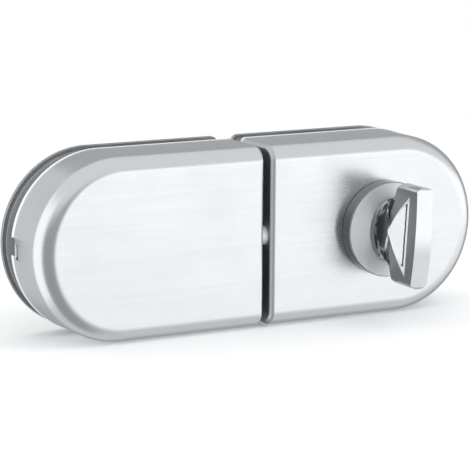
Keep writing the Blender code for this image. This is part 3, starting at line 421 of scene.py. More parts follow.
class Nodes:
    """What the trees of nodes for solids, surfaces and sky have in common."""

    def node(self, kind, **settings):
        """A new node with some of its settings."""
        made = self.tree.nodes.new(kind)
        for key, value in settings.items():
            setattr(made, key, value)
        return made

    def put(self, value, socket):
        """Lead an output into a socket, or write a value into it."""
        if isinstance(value, bpy.types.NodeSocket):
            self.tree.links.new(value, socket)
        else:
            socket.default_value = value

    def fed(self, kind, inputs, **settings):
        """The first output of a new node, fed with inputs by name or number."""
        made = self.node(kind, **settings)
        for name, value in inputs.items():
            self.put(value, made.inputs[name])
        return next(output for output in made.outputs if output.enabled)

    def maths(self, operation, *values):
        """One sum on outputs or numbers."""
        return self.fed("ShaderNodeMath", dict(enumerate(values)), operation=operation)

    def vectors(self, operation, *values):
        """One sum on vectors."""
        return self.fed("ShaderNodeVectorMath", dict(enumerate(values)), operation=operation)

    def split(self, vector):
        """The X, Y and Z of a vector."""
        parts = self.node("ShaderNodeSeparateXYZ")
        self.put(vector, parts.inputs["Vector"])
        return parts.outputs

    def coordinates(self, source="Object"):
        """Coordinates of one kind."""
        return self.node("ShaderNodeTexCoord").outputs[source]

    def between(self, value, low, high, start=0.3, end=0.7, **settings):
        """A value stretched from one span to another, and kept inside it."""
        ends = {"From Min": start, "From Max": end, "To Min": low, "To Max": high}
        return self.fed("ShaderNodeMapRange", {"Value": value, **ends}, **settings)

    def rising(self, value, start, end, **settings):
        """A mask that goes from 0 to 1."""
        return self.between(value, 0.0, 1.0, start, end, **settings)

    def falling(self, value, start, end, **settings):
        """A mask that goes from 1 to 0."""
        return self.between(value, 1.0, 0.0, start, end, **settings)

    def window(self, value, start, end, soft, **settings):
        """A mask that is 1 between two soft edges."""
        rise = self.rising(value, start - soft, start + soft, **settings)
        return self.product(rise, self.falling(value, end - soft, end + soft, **settings))

    def product(self, first, *others):
        """Outputs or numbers multiplied."""
        for other in others:
            first = self.maths("MULTIPLY", first, other)
        return first

    def mix(self, mask, first, second, kind="RGBA"):
        """Two colours or two numbers mixed by a mask."""
        return self.fed("ShaderNodeMix", {"Factor": mask, "A": first, "B": second}, data_type=kind)


class Tree(Nodes):
    """A tree of nodes that builds geometry from named sizes."""

    def __init__(self, name, sizes):
        self.tree = bpy.data.node_groups.new(name, "GeometryNodeTree")
        face = self.tree.interface
        for way in ("INPUT", "OUTPUT"):
            face.new_socket("Geometry", in_out=way, socket_type="NodeSocketGeometry")
        for label, value in sizes.items():
            socket = face.new_socket(label, in_out="INPUT", socket_type="NodeSocketFloat")
            socket.default_value = value
        face.new_socket("Finish", in_out="INPUT", socket_type="NodeSocketMaterial")
        self.given = self.node("NodeGroupInput").outputs

    def along(self, distance):
        """A vector of that length along Z."""
        return self.fed("ShaderNodeCombineXYZ", {"Z": distance})

    def moved(self, geometry, distance):
        """Geometry shifted along Z."""
        inputs = {"Geometry": geometry, "Translation": self.along(distance)}
        return self.fed("GeometryNodeTransform", inputs)

    def joined(self, operation, *solids):
        """Solids united, kept where they meet, or the second cut from the first."""
        made = self.node("GeometryNodeMeshBoolean", operation=operation, solver="EXACT")
        first = "Mesh 1" if operation == "DIFFERENCE" else "Mesh 2"
        for name, solid in zip((first, "Mesh 2"), solids):
            self.put(solid, made.inputs[name])
        return made.outputs["Mesh"]

    def bar(self, radius, start, length, corners=SCREW_STEPS):
        """A round or many-sided bar along Z."""
        inputs = {"Vertices": corners, "Radius": radius, "Depth": length}
        middle = self.maths("MULTIPLY_ADD", length, 0.5, start)
        return self.moved(self.fed("GeometryNodeMeshCylinder", inputs), middle)

    def cone(self, near, far, start, length):
        """A cone between two radii along Z."""
        radii = {"Radius Bottom": near, "Radius Top": far}
        solid = self.fed("GeometryNodeMeshCone", {"Vertices": SCREW_STEPS, **radii, "Depth": length})
        return self.moved(solid, start)

    def stand(self, geometry, turn):
        """Set geometry on every point, make it real, give it its finish and send it out."""
        inputs = {"Points": self.given["Geometry"], "Instance": geometry, "Rotation": (turn, 0.0, 0.0)}
        placed = self.fed("GeometryNodeInstanceOnPoints", inputs)
        real = self.fed("GeometryNodeRealizeInstances", {"Geometry": placed})
        inputs = {"Geometry": real, "Material": self.given["Finish"]}
        dressed = self.fed("GeometryNodeSetMaterial", inputs)
        self.put(dressed, self.node("NodeGroupOutput").inputs["Geometry"])

    def grow(self, name, points, **values):
        """A plain mesh from points, built by the tree with these sizes and this finish."""
        mesh = bpy.data.meshes.new(name)
        mesh.from_pydata(points, [], [])
        obj = add_object(name, mesh)
        modifier = obj.modifiers.new("tree", "NODES")
        modifier.node_group = self.tree
        for item in self.tree.interface.items_tree:
            if item.in_out == "INPUT" and item.name in values:
                modifier[item.identifier] = values[item.name]
        freeze(obj)
        weld(obj)
        obj.data.shade_smooth()
        obj.data.set_sharp_from_angle(angle=SHARP_ANGLE)
        return obj


# Surface finishes


class Finish(Nodes):
    """A surface made from shader nodes."""

    def __init__(self, name, metallic):
        self.material = bpy.data.materials.new(name)
        self.material.use_nodes = True
        self.tree = self.material.node_tree
        self.shader = self.tree.nodes["Principled BSDF"].inputs
        self.put(metallic, self.shader["Metallic"])

    def noise(self, scale, detail, source="Object"):
        """A noise pattern over the piece, with a scale for all its axes or for each."""
        scale = scale if isinstance(scale, tuple) else (scale, scale, scale)
        inputs = {"Vector": self.coordinates(source), "Scale": scale}
        place = self.fed("ShaderNodeMapping", inputs)
        inputs = {"Vector": place, "Scale": 1.0, "Detail": detail, "Roughness": NOISE_ROUGHNESS}
        return self.fed("ShaderNodeTexNoise", inputs)

    def tint(self, pattern, dark, light):
        """Let a pattern run the base colour between two tints."""
        middle = ((low + high) / 2 for low, high in zip(dark, light))
        self.material.diffuse_color = (*middle, 1.0)
        self.shader["Base Color"].default_value = self.material.diffuse_color
        mixed = self.mix(self.between(pattern, 0.0, 1.0), (*dark, 1.0), (*light, 1.0))
        self.put(mixed, self.shader["Base Color"])

    def matt(self, pattern, low, high):
        """Let a pattern run the roughness between two values."""
        self.put(self.between(pattern, low, high), self.shader["Roughness"])

    def lay(self, socket, value, mask, kind="FLOAT"):
        """Lay a value over what one of the shader's sockets has, where the mask is 1."""
        target = self.shader[socket]
        under = target.links[0].from_socket if target.links else target.default_value
        if isinstance(value, tuple):
            value = (*value, 1.0)
        self.put(self.mix(mask, under, value, kind), target)

    def paint(self, colour, mask):
        """Lay a colour over the base colour, where the mask is 1."""
        self.lay("Base Color", colour, mask, "RGBA")

    def relief(self, value, depth):
        """A pattern that raises the surface by a depth in metres."""
        inputs = {"Strength": 1.0, "Distance": depth, "Height": value}
        self.put(self.fed("ShaderNodeBump", inputs), self.shader["Normal"])


def brushed_cover_steel():
    """Stainless sheet with a long, faint grain that follows the cover, with painted shade along the seam
    and in the slit, and a painted highlight on the rear rim.
    """
    finish = Finish("brushed_cover_steel", 1.0)
    grain = finish.noise((26.0, 2600.0, 1.0), 4.0, "UV")
    bands = finish.noise((9.0, 420.0, 1.0), 3.0, "UV")
    clouds = finish.noise(60.0, 2.0)
    finish.tint(bands, (0.77, 0.775, 0.785), (0.80, 0.805, 0.81))
    gloss = finish.between(clouds, 0.24, 0.29)
    gloss = finish.maths("ADD", finish.between(grain, -0.015, 0.02), gloss)
    finish.put(gloss, finish.shader["Roughness"])
    x, y, z = finish.split(finish.coordinates())
    away = finish.maths("ABSOLUTE", x)
    seam, end = LOCK["seam"], LOCK["end"]
    right_half = finish.rising(x, 0.0, seam / 2)
    soft_end = seam + SEAM_FILLET
    soft = finish.falling(away, soft_end - SEAM_FILLET * 0.3, soft_end)
    edge = finish.product(right_half, soft)
    wall = seam + SHEET_EDGE
    seam_wall_shade = finish.falling(away, wall - SHEET_EDGE / 2, wall)
    foot_z = SEAM_FILLET - LOCK["half"]
    low = finish.falling(z, foot_z - FOOT_SHADE / 2, foot_z + FOOT_SHADE)
    shaded_foot = finish.product(right_half, finish.falling(away, wall, seam + FOOT_SHADE), low)
    rim_y = LOCK["rear"] - RIM_BAND
    rim = finish.rising(y, rim_y + RIM_BAND * 0.25, rim_y + RIM_BAND * 0.4)
    deep = finish.falling(away, end - SLIT_DARK, end - SLIT_LIGHT)
    outer = finish.rising(away, end - 2 * SHEET, end - 2 * SHEET + MASK_SOFT)
    tab_front = LOCK["rear"] - TAB_SETBACK - TAB_DEPTH
    tab_low = -TAB_DROP - TAB_HEIGHT / 2
    tab_y = finish.window(y, tab_front, tab_front + TAB_DEPTH, MASK_SOFT)
    tab_z = finish.window(z, tab_low, tab_low + TAB_HEIGHT, MASK_SOFT)
    slit = finish.product(deep, outer, tab_y, tab_z)
    # Painted shade: the right cover's rounded seam edge is painted a darker gray, and made rougher.
    finish.paint((0.62, 0.63, 0.64), edge)
    # Painted shade: the seam's wall is painted dark gray.
    finish.paint((0.36, 0.37, 0.39), seam_wall_shade)
    # Painted shade: near black at the bottom of the seam, where it meets the lower wall.
    finish.paint((0.10, 0.102, 0.108), shaded_foot)
    # Painted highlight: the rear rim band is painted near white and made less metallic.
    finish.paint((0.96, 0.96, 0.97), rim)
    # Painted shade: the floor and deep walls of the shallow slit are painted black, in place of the dark
    # of a through slit.
    finish.paint((0.02, 0.02, 0.022), slit)
    finish.lay("Roughness", 0.50, edge)
    finish.lay("Metallic", 0.3, rim)
    finish.relief(grain, 0.0000003)
    return finish.material


def ground_plate_steel():
    """Plain steel plate, rolled and lightly ground."""
    finish = Finish("ground_plate_steel", 1.0)
    grain = finish.noise((60.0, 60.0, 2200.0), 4.0)
    finish.tint(finish.noise(35.0, 3.0), (0.46, 0.47, 0.48), (0.54, 0.55, 0.56))
    finish.matt(grain, 0.27, 0.42)
    finish.relief(grain, 0.000002)
    return finish.material


def polished_chrome(name="polished_chrome"):
    """Plated chrome with the faint waviness and hairlines of buffing."""
    finish = Finish(name, 1.0)
    waves = finish.noise(170.0, 1.0)
    finish.tint(waves, (0.70, 0.71, 0.72), (0.725, 0.735, 0.745))
    finish.matt(finish.noise((120.0, 3000.0, 120.0), 3.0), 0.035, 0.085)
    finish.relief(waves, 0.000004)
    return finish


def thumb_turn_chrome():
    """The chrome of the thumb turn, with pale matt hollows as painted reflections, each with a painted
    dark reflection line, and painted shade on its flat sides, on its neck with light streaks of painted
    reflection, and at the neck's foot.
    """
    finish = polished_chrome("thumb_turn_chrome")
    bar = TURN_LOW.y + POCKET_BAR
    inputs = {"Angle": -TURN_TILT}
    inputs["Vector"] = finish.vectors("SUBTRACT", finish.coordinates(), (TURN_X, bar, 0.0))
    x, y, z = finish.split(finish.fed("ShaderNodeVectorRotate", inputs, rotation_type="Y_AXIS"))
    side = finish.maths("ABSOLUTE", x)
    above = finish.maths("ABSOLUTE", z)
    length = LOCK["front"] - POCKET_HEEL - bar
    swept = finish.maths("POWER", finish.falling(y, 0.0, length), POCKET_SWEEP)
    limit = finish.maths("MULTIPLY_ADD", swept, -POCKET_HALF_HEIGHT, above)
    within = finish.falling(limit, MASK_SOFT, 2 * MASK_SOFT)
    behind = finish.rising(y, MASK_SOFT, 2 * MASK_SOFT)
    hollow = finish.product(within, behind, finish.falling(y, length - MASK_SOFT, length))
    flat_side = finish.rising(side, BLADE_HALF - 5 * HAIR, BLADE_HALF - 2 * HAIR)
    bulge = finish.rising(side, BLADE_HALF + HAIR, BLADE_HALF + 3 * HAIR)
    curved = finish.maths("MULTIPLY_ADD", finish.product(z, z), ROOT_BOW, y)
    root_y = ROOT_EDGE - bar
    root = finish.rising(curved, root_y - MASK_SOFT, root_y + MASK_SOFT)
    near = finish.falling(above, NECK_HALF_HEIGHT, NECK_HALF_HEIGHT + 4 * MASK_SOFT)
    neck = finish.maths("MAXIMUM", bulge, finish.product(root, near))
    foot_y = ROSE_LOW.y - bar - NECK_FOOT
    shaded_foot = finish.rising(y, foot_y, foot_y + MASK_SOFT)
    reflection_streaks = finish.rising(finish.noise((260.0, 900.0, 110.0), 2.0), 0.52, 0.64)
    shade_and_reflections = finish.mix(reflection_streaks, (0.075, 0.078, 0.084, 1.0), (0.62, 0.63, 0.64, 1.0))
    waver = finish.noise((0.0, 0.0, 420.0), 2.0)
    line = finish.maths("MULTIPLY_ADD", waver, -REFLECTION_LINE_WAVER, y)
    line = finish.window(line, REFLECTION_LINE_START, REFLECTION_LINE_START + REFLECTION_LINE_WIDTH, REFLECTION_LINE_SOFT)
    floor = BLADE_HALF - REFLECTION_LINE_FLOOR
    dark_reflection_line = finish.product(hollow, finish.falling(side, floor, floor + MASK_SOFT), line)
    # Painted shade: the blade's flat sides are tinted a darker gray, and made rougher.
    finish.paint((0.46, 0.47, 0.485), flat_side)
    # Painted shade and reflections: the neck and the blade's root are painted near black, with light
    # streaks as painted reflections.
    finish.paint(shade_and_reflections, neck)
    # Painted shade: a gray ring where the neck meets the rose.
    finish.paint((0.40, 0.41, 0.42), shaded_foot)
    # Painted reflection: the hollows are painted near white and matt, in place of the bright reflection
    # in their chrome.
    finish.paint((0.96, 0.96, 0.96), hollow)
    # Painted reflection: a dark wavy line across each hollow's floor.
    finish.paint((0.06, 0.062, 0.066), dark_reflection_line)
    finish.lay("Roughness", 0.30, flat_side)
    finish.lay("Roughness", 0.45, hollow)
    finish.lay("Metallic", 0.0, hollow)
    return finish.material


def bolt_chrome():
    """The bolt's plating, dulled by sliding, and painted near white and barely metallic as a painted
    reflection.
    """
    finish = Finish("bolt_chrome", 0.15)
    wear_and_sheen = finish.noise((40.0, 1800.0, 1800.0), 3.0)
    # Painted reflection: the bolt is tinted near white and made barely metallic, in place of the bright
    # reflection of chrome.
    finish.tint(wear_and_sheen, (0.93, 0.93, 0.935), (0.97, 0.97, 0.97))
    finish.matt(wear_and_sheen, 0.24, 0.34)
    finish.relief(finish.noise(170.0, 1.0), 0.000004)
    return finish.material


def rose_chrome():
    """The rose's plating, polished on its rim, whose dark tint is painted shade, and matt-turned on its
    face.
    """
    finish = Finish("rose_chrome", 0.80)
    bloom = finish.noise(240.0, 2.0)
    finish.tint(bloom, (0.79, 0.80, 0.815), (0.81, 0.82, 0.835))
    finish.matt(bloom, 0.48, 0.54)
    centred = finish.vectors("SUBTRACT", finish.coordinates(), (TURN_X, 0.0, 0.0))
    reach = finish.vectors("LENGTH", finish.vectors("MULTIPLY", centred, (1.0, 0.0, 1.0)))
    rim = finish.rising(reach, ROSE_RADIUS - ROSE_EDGE, ROSE_RADIUS - ROSE_EDGE / 2)
    # Painted shade: the rim is tinted dark gray.
    finish.paint((0.27, 0.28, 0.295), rim)
    finish.lay("Roughness", 0.12, rim)
    finish.lay("Metallic", 1.0, rim)
    finish.relief(finish.noise(4200.0, 2.0), 0.0000005)
    return finish.material


def zinc_plate():
    """Castings with a dull zinc coat."""
    finish = Finish("zinc_plate", 1.0)
    mottle = finish.noise(700.0, 4.0)
    finish.tint(mottle, (0.52, 0.53, 0.55), (0.64, 0.65, 0.65))
    finish.matt(mottle, 0.36, 0.56)
    finish.relief(mottle, 0.000012)
    return finish.material


def screw_steel():
    """Zinc-coated screw steel, with the fine ridges of its thread."""
    finish = Finish("screw_steel", 1.0)
    mottle = finish.noise(900.0, 3.0)
    finish.tint(mottle, (0.56, 0.57, 0.59), (0.68, 0.69, 0.70))
    finish.matt(mottle, 0.26, 0.40)
    thread = finish.node("ShaderNodeTexWave", bands_direction="Y")
    finish.put(THREAD_SCALE, thread.inputs["Scale"])
    finish.put(finish.coordinates(), thread.inputs["Vector"])
    finish.relief(thread.outputs["Fac"], 0.00008)
    return finish.material


def turned_brass():
    """Brass with the rings that a lathe leaves."""
    finish = Finish("turned_brass", 1.0)
    rings = finish.noise((90.0, 5200.0, 90.0), 2.0)
    finish.tint(rings, (0.66, 0.48, 0.20), (0.78, 0.60, 0.29))
    finish.matt(rings, 0.18, 0.34)
    finish.relief(rings, 0.000003)
    return finish.material


def blue_spring_steel():
    """Hardened strip, dark and a little blue."""
    finish = Finish("blue_spring_steel", 1.0)
    heat = finish.noise(260.0, 3.0)
    finish.tint(heat, (0.24, 0.26, 0.31), (0.38, 0.39, 0.41))
    finish.matt(heat, 0.24, 0.40)
    return finish.material


def pad_rubber():
    """Matt gray rubber sheet with a fine tooth."""
    finish = Finish("pad_rubber", 0.0)
    tooth = finish.noise(2600.0, 3.0)
    finish.tint(finish.noise(140.0, 4.0), (0.32, 0.33, 0.34), (0.40, 0.41, 0.42))
    finish.matt(tooth, 0.40, 0.60)
    finish.relief(tooth, 0.00003)
    return finish.material


def spacer_nylon():
    """Moulded off-white nylon."""
    finish = Finish("spacer_nylon", 0.0)
    flow = finish.noise((90.0, 400.0, 90.0), 3.0)
    finish.tint(flow, (0.70, 0.70, 0.67), (0.79, 0.79, 0.76))
    finish.matt(flow, 0.40, 0.54)
    finish.relief(flow, 0.00001)
    return finish.material


# Every finish, under the record's name for it
FINISHES = {
    "satin_steel": brushed_cover_steel(),
    "plate_steel": ground_plate_steel(),
    "polished_chrome": polished_chrome().material,
    "zinc_casting": zinc_plate(),
    "turned_brass": turned_brass(),
    "spring_steel": blue_spring_steel(),
    "black_rubber": pad_rubber(),
    "white_nylon": spacer_nylon(),
}


def hand_over(piece, body, slot, *nodes):
    """Put a finished piece in its node's place, riding on the node's body."""
    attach(piece, body)
    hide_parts(*nodes)


def dress_nodes():
    """Give each node that still shows the finish that the record names for it."""
    slots = {entry["node"]: entry["material_slot"] for entry in frame["record"]["subparts"]}
    for name, node in frame["nodes"].items():
        node.data.materials.clear()
        node.data.materials.append(FINISHES[slots[name]])


# Drawn covers


def cover_columns(cover, sheet, steps):
    """The points of a skin in columns round the D, each from its rear rim to its flat front."""
    half = cover["half"] - sheet
    fillet = FRONT_FILLET - sheet
    soft = SEAM_FILLET - sheet
    centre = cover["end"] - cover["half"]
    start = cover["seam"] + sheet
    corner = [
        (start + soft * (1 - math.cos(a)), soft * (1 - math.sin(a))) for a in quarter(CORNER_STEPS)
    ]
    ways = [(x, inset, 0.0) for x, inset in corner]
    ways += [(centre, 0.0, math.pi * step / END_STEPS) for step in range(END_STEPS + 1)]
    ways += [(x, inset, math.pi) for x, inset in reversed(corner)]
    rim = [(RIM_FLARE, 0), (0, RIM_BAND)]
    if not sheet:
        rim = [
            (RIM_FLARE - SHEET_EDGE, 0),
            (RIM_FLARE - SHEET_EDGE / 3, SHEET_EDGE / 3),
            (RIM_FLARE * 0.96, SHEET_EDGE),
            (RIM_FLARE * 0.12, RIM_BAND * 0.86),
            (0, RIM_BAND),
        ]
    columns = []
    for x, inset, turn in ways:
        column = [(half - inset + flare, cover["rear"] - depth) for flare, depth in rim]
        reach = fillet - inset
        spread = reach * (1 + END_SPREAD * math.sin(turn) ** 2)
        for a in quarter(steps):
            y = cover["front"] + sheet + fillet - reach * math.sin(a)
            column.append((half - inset - spread * (1 - math.cos(a)), y))
        sine, cosine = math.sin(turn), math.cos(turn)
        columns.append([(cover["side"] * (x + r * sine), y, r * cosine) for r, y in column])
    return columns


def add_cover_skin(bm, columns):
    """Faces over a skin's columns, its seam wall and its front. It stays open at the rear."""
    made = [[bm.verts.new(point) for point in column] for column in columns]
    for first, second in zip(made, made[1:]):
        for row in range(len(first) - 1):
            bm.faces.new((first[row], second[row], second[row + 1], first[row + 1]))
    bm.faces.new(made[0] + made[-1][::-1])
    ends = [column[-1] for column in made]
    for step in range(CORNER_STEPS):
        bm.faces.new((ends[step], ends[step + 1], ends[-2 - step], ends[-1 - step]))
    bm.faces.new(ends[CORNER_STEPS : len(ends) - CORNER_STEPS])
    return made


def grain_uv(obj, cover):
    """Lay the grain along the outline on the walls and level across the front."""
    mesh = obj.data
    layer = mesh.uv_layers.get("grain") or mesh.uv_layers.new(name="grain")
    centre = cover["end"] - cover["half"]
    for polygon in mesh.polygons:
        flat = abs(polygon.normal.y) > FLAT_FRONT
        for loop in polygon.loop_indices:
            x, y, z = mesh.vertices[mesh.loops[loop].vertex_index].co
            reach = cover["side"] * x - centre
            if flat:
                place = (x, z)
            elif reach > 0:
                bend = math.atan2(reach, abs(z))
                place = (centre + cover["half"] * bend, y + math.copysign(1, z))
            else:
                place = (cover["side"] * x + z, y + math.copysign(1, z))
            layer.data[loop].uv = place


def drawn_cover(name, node, cover):
    """A cover drawn from sheet, with its pry notch, its snap tab and its holes."""
    bm = bmesh.new()
    outer = add_cover_skin(bm, cover_columns(cover, 0, FILLET_STEPS))
    inner = add_cover_skin(bm, cover_columns(cover, SHEET, INNER_STEPS))
    for index in range(len(outer)):
        after = (index + 1) % len(outer)
        bm.faces.new((outer[index][0], outer[after][0], inner[after][0], inner[index][0]))
    piece = finish_mesh(name, bm, FINISHES["satin_steel"])

    side, rear = cover["side"], cover["rear"]
    holes = bmesh.new()
    outside = cover["end"] + 4 * SHEET
    xs = sorted((side * (cover["end"] - 4 * SHEET), side * outside))
    low = (xs[0], rear - NOTCH_DEPTH, NOTCH_RISE - NOTCH_HEIGHT / 2)
    block(holes, low, (xs[1], rear + 4 * SHEET, NOTCH_RISE + NOTCH_HEIGHT / 2))
    slit_rear = rear - TAB_SETBACK
    slit_front = slit_rear - TAB_DEPTH
    high = -TAB_DROP + TAB_HEIGHT / 2
    low = -TAB_DROP - TAB_HEIGHT / 2
    slit = [(slit_rear, high), (slit_front, high), (slit_front, low), (slit_rear, low)]
    slit += [(slit_rear, low + TAB_SLIT), (slit_front + TAB_SLIT, low + TAB_SLIT)]
    slit += [(slit_front + TAB_SLIT, high - TAB_SLIT / 2), (slit_rear, high - TAB_SLIT / 2)]
    xs = sorted((side * (cover["end"] - SLIT_DEPTH), side * outside))
    pushed(holes, slit, *xs, "X")
    xs = (side * (cover["seam"] - SHEET), side * (cover["seam"] + 2 * SHEET))
    rod_along_x(holes, BOLT_RADIUS + BOLT_CLEAR, *xs, BOLT_Y)
    if side > 0:
        rod(holes, SLEEVE_RADIUS, cover["front"] - SHEET, cover["front"] + 2 * SHEET, AXIS)
    cut(piece, holes)
    flatten_normals(piece)
    grain_uv(piece, cover)
    hand_over(piece, "housing", "satin_steel", node)


# Back plates


def plate_outline(cover, seam, inset, corner):
    """Points (x, z) round a plate: a D, square at the seam and a half circle at its outer end."""
    half = cover["half"] - inset
    right = math.pi / 2
    x, z = seam + corner, half - corner
    points = arc((x, -z), corner, 2 * right, 3 * right, CORNER_STEPS)
    points += arc((cover["end"] - cover["half"], 0), half, -right, right, END_STEPS)
    points += arc((x, z), corner, right, 2 * right, CORNER_STEPS)
    return [(cover["side"] * x, z) for x, z in points]


def back_plate(name, node, cover, screws, setback):
    """The plate behind the glass, with eased edges and its welded, tapped pillars."""
    low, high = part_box(node)
    seam = min(abs(low.x), abs(high.x)) + setback
    rear = high.y
    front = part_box("lock_back_pad")[1].y + FREE
    near_edge = PLATE_EDGE * 0.3
    rows = [(PLATE_EDGE, front), (near_edge, front + near_edge), (0, front + PLATE_EDGE)]
    rows += [(0, rear - PLATE_EDGE), (near_edge, rear - near_edge), (PLATE_EDGE, rear)]
    rings = []
    for inset, y in rows:
        outline = plate_outline(cover, seam + inset, inset, PLATE_CORNER - inset)
        rings.append([(x, y, z) for x, z in outline])
    bm = bmesh.new()
    skin(bm, rings)
    piece = finish_mesh(name, bm, FINISHES["plate_steel"])

    pillar = [(0, low.y), (PILLAR_RADIUS - PLATE_EDGE, low.y), (PILLAR_RADIUS, low.y + PLATE_EDGE)]
    pillar += [(PILLAR_RADIUS, front + PLATE_EDGE), (0, front + PLATE_EDGE)]
    pillars = bmesh.new()
    holes = bmesh.new()
    for screw in screws:
        place = node_middle(screw)
        centre = (place.x, place.z)
        turned(pillars, pillar, centre, PILLAR_STEPS)
        rod(holes, PILLAR_HOLE, low.y - SHEET, rear - PILLAR_FLOOR, centre, PILLAR_STEPS)
    if cover["side"] > 0:
        rod(holes, CYLINDER_RADIUS + FREE, front - SHEET, rear + SHEET, AXIS)
    cut(piece, pillars, "UNION")
    cut(piece, holes)
    flatten_normals(piece)
    hand_over(piece, "housing", "plate_steel", node)


# Rose, thumb turn and bolt


def turned_rose():
    """The rose, with its sleeve through the cover and softly broken edges."""
    front, end = ROSE_LOW.y, ROSE_HIGH.y
    rear = LOCK["front"] - FREE
    inner = ROSE_RADIUS - ROSE_EDGE
    profile = [(ROSE_BORE, front + ROSE_EDGE / 2), (ROSE_BORE + ROSE_EDGE / 2, front)]
    for a in quarter(ROSE_EDGE_STEPS):
        profile.append((inner + ROSE_EDGE * math.sin(a), front + ROSE_EDGE - ROSE_EDGE * math.cos(a)))
    profile += [(ROSE_RADIUS, rear - ROSE_EDGE / 3), (ROSE_RADIUS - ROSE_EDGE / 3, rear)]
    profile += [(SLEEVE_RADIUS - FREE, rear), (SLEEVE_RADIUS - FREE, end), (ROSE_BORE, end)]
    piece = lathed("turned_rose", profile, rose_chrome(), closed=True)
    flatten_normals(piece)
    hand_over(piece, "housing", "polished_chrome", "rose")


def bend(before, corner, after, reach):
    """Points round a softened corner, from its first side to its second."""
    corner = Vector(corner)
    start = corner + (Vector(before) - corner).normalized() * reach
    end = corner + (Vector(after) - corner).normalized() * reach
    shares = [step / BEND_STEPS for step in range(BEND_STEPS + 1)]
    return [tuple(start.lerp(corner, s).lerp(corner.lerp(end, s), s)) for s in shares]


def blade_outline(root_y):
    """Points (y, z) round the blade, seen from its side."""
    front = TURN_LOW.y
    root = (root_y, BLADE_ROOT)
    waist = (front + BLADE_WAIST_DEPTH, BLADE_WAIST)
    tip = (front + BLADE_TIP_DEPTH, BLADE_TOP)
    front_edge = front + BLADE_CROWN
    corner = (front_edge, BLADE_TOP)
    upper = [root, *bend(root, waist, tip, BLADE_BEND), *bend(waist, tip, corner, BLADE_EDGE)]
    upper += bend(tip, corner, (front_edge, 0), BLADE_CORNER)
    half = BLADE_TOP - BLADE_CORNER
    crown = []
    for step in range(1, CROWN_STEPS):
        z = half * (1 - 2 * step / CROWN_STEPS)
        crown.append((front_edge - BLADE_CROWN * (1 - (z / half) ** 2), z))
    return upper + crown + [(y, -z) for y, z in reversed(upper)]


def dome_cutter(end):
    """What rounds off one end of the blade across its thickness."""
    radius = (BLADE_HALF ** 2 + BLADE_DOME ** 2) / (2 * BLADE_DOME)
    spread = math.asin(BLADE_HALF / radius)
    outline = []
    for step in range(DOME_STEPS + 1):
        angle = spread * (1 - 2 * step / DOME_STEPS)
        outline.append((radius * math.sin(angle), BLADE_TOP - radius * (1 - math.cos(angle))))
    side = BLADE_HALF + BLADE_EDGE
    low, high = BLADE_TOP - BLADE_DOME, BLADE_TOP + BLADE_DOME
    outline += [(-side, low), (-side, high), (side, high), (side, low)]
    bm = bmesh.new()
    pushed(bm, [(x, end * z) for x, z in outline], TURN_LOW.y - BLADE_EDGE, ROSE_LOW.y, "Y")
    return bm


def neck_half_width(y):
    """Half the width of the thumb turn's neck, which flares towards the rose."""
    slim = BLADE_HALF - NECK_SINK
    share = min(max((ROSE_LOW.y - FREE - y) / NECK_DEPTH, 0.0), 1.0)
    return slim + (NECK_HALF_WIDTH - slim) * (1 - share) ** NECK_SWEEP


def neck_solid():
    """The oval neck between the blade and the rose."""
    rings = []
    for step in range(NECK_STEPS + 1):
        share = (step / NECK_STEPS) ** NECK_CROWDING
        y = ROSE_LOW.y - FREE - NECK_DEPTH * share
        high = NECK_HALF_HEIGHT + (NECK_TOP_HALF_HEIGHT - NECK_HALF_HEIGHT) * share
        wide = neck_half_width(y)
        rings.append([(wide * math.sin(a), y, high * math.cos(a)) for a in circle(ROUND_STEPS)])
    bm = bmesh.new()
    skin(bm, rings)
    return bm


def stem_solid():
    """The journal behind the neck, with the groove for its clip."""
    rear = TURN_HIGH.y
    front = ROSE_LOW.y - FREE - NECK_SINK
    clip_front, clip_rear = (corner.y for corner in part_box("retaining_clip"))
    clip_front, clip_rear = clip_front - FREE / 2, clip_rear + FREE / 2
    groove = JOURNAL - CLIP_GROOVE
    profile = [(0, rear), (JOURNAL, rear), (JOURNAL, clip_rear), (groove, clip_rear)]
    profile += [(groove, clip_front), (JOURNAL, clip_front), (JOURNAL, front), (0, front)]
    bm = bmesh.new()
    turned(bm, profile)
    return bm


def pocket_cutter(side):
    """What hollows one side of the blade, narrower and shallower towards the rose."""
    rear = LOCK["front"] - POCKET_HEEL
    front = TURN_LOW.y + POCKET_BAR
    outside = max(neck_half_width(rear), BLADE_HALF) + BLADE_EDGE
    rings = []
    for step in range(POCKET_STEPS + 1):
        share = step / POCKET_STEPS
        y = rear + (front - rear) * share
        half = max(POCKET_HALF_HEIGHT * share ** POCKET_SWEEP, POCKET_POINT)
        floor = max(neck_half_width(y), BLADE_HALF) - POCKET_DEPTH * share
        corners = ((floor, -half), (floor, half), (outside, half), (outside, -half))
        rings.append([(side * x, y, z) for x, z in corners])
    bm = bmesh.new()
    skin(bm, rings)
    return bm


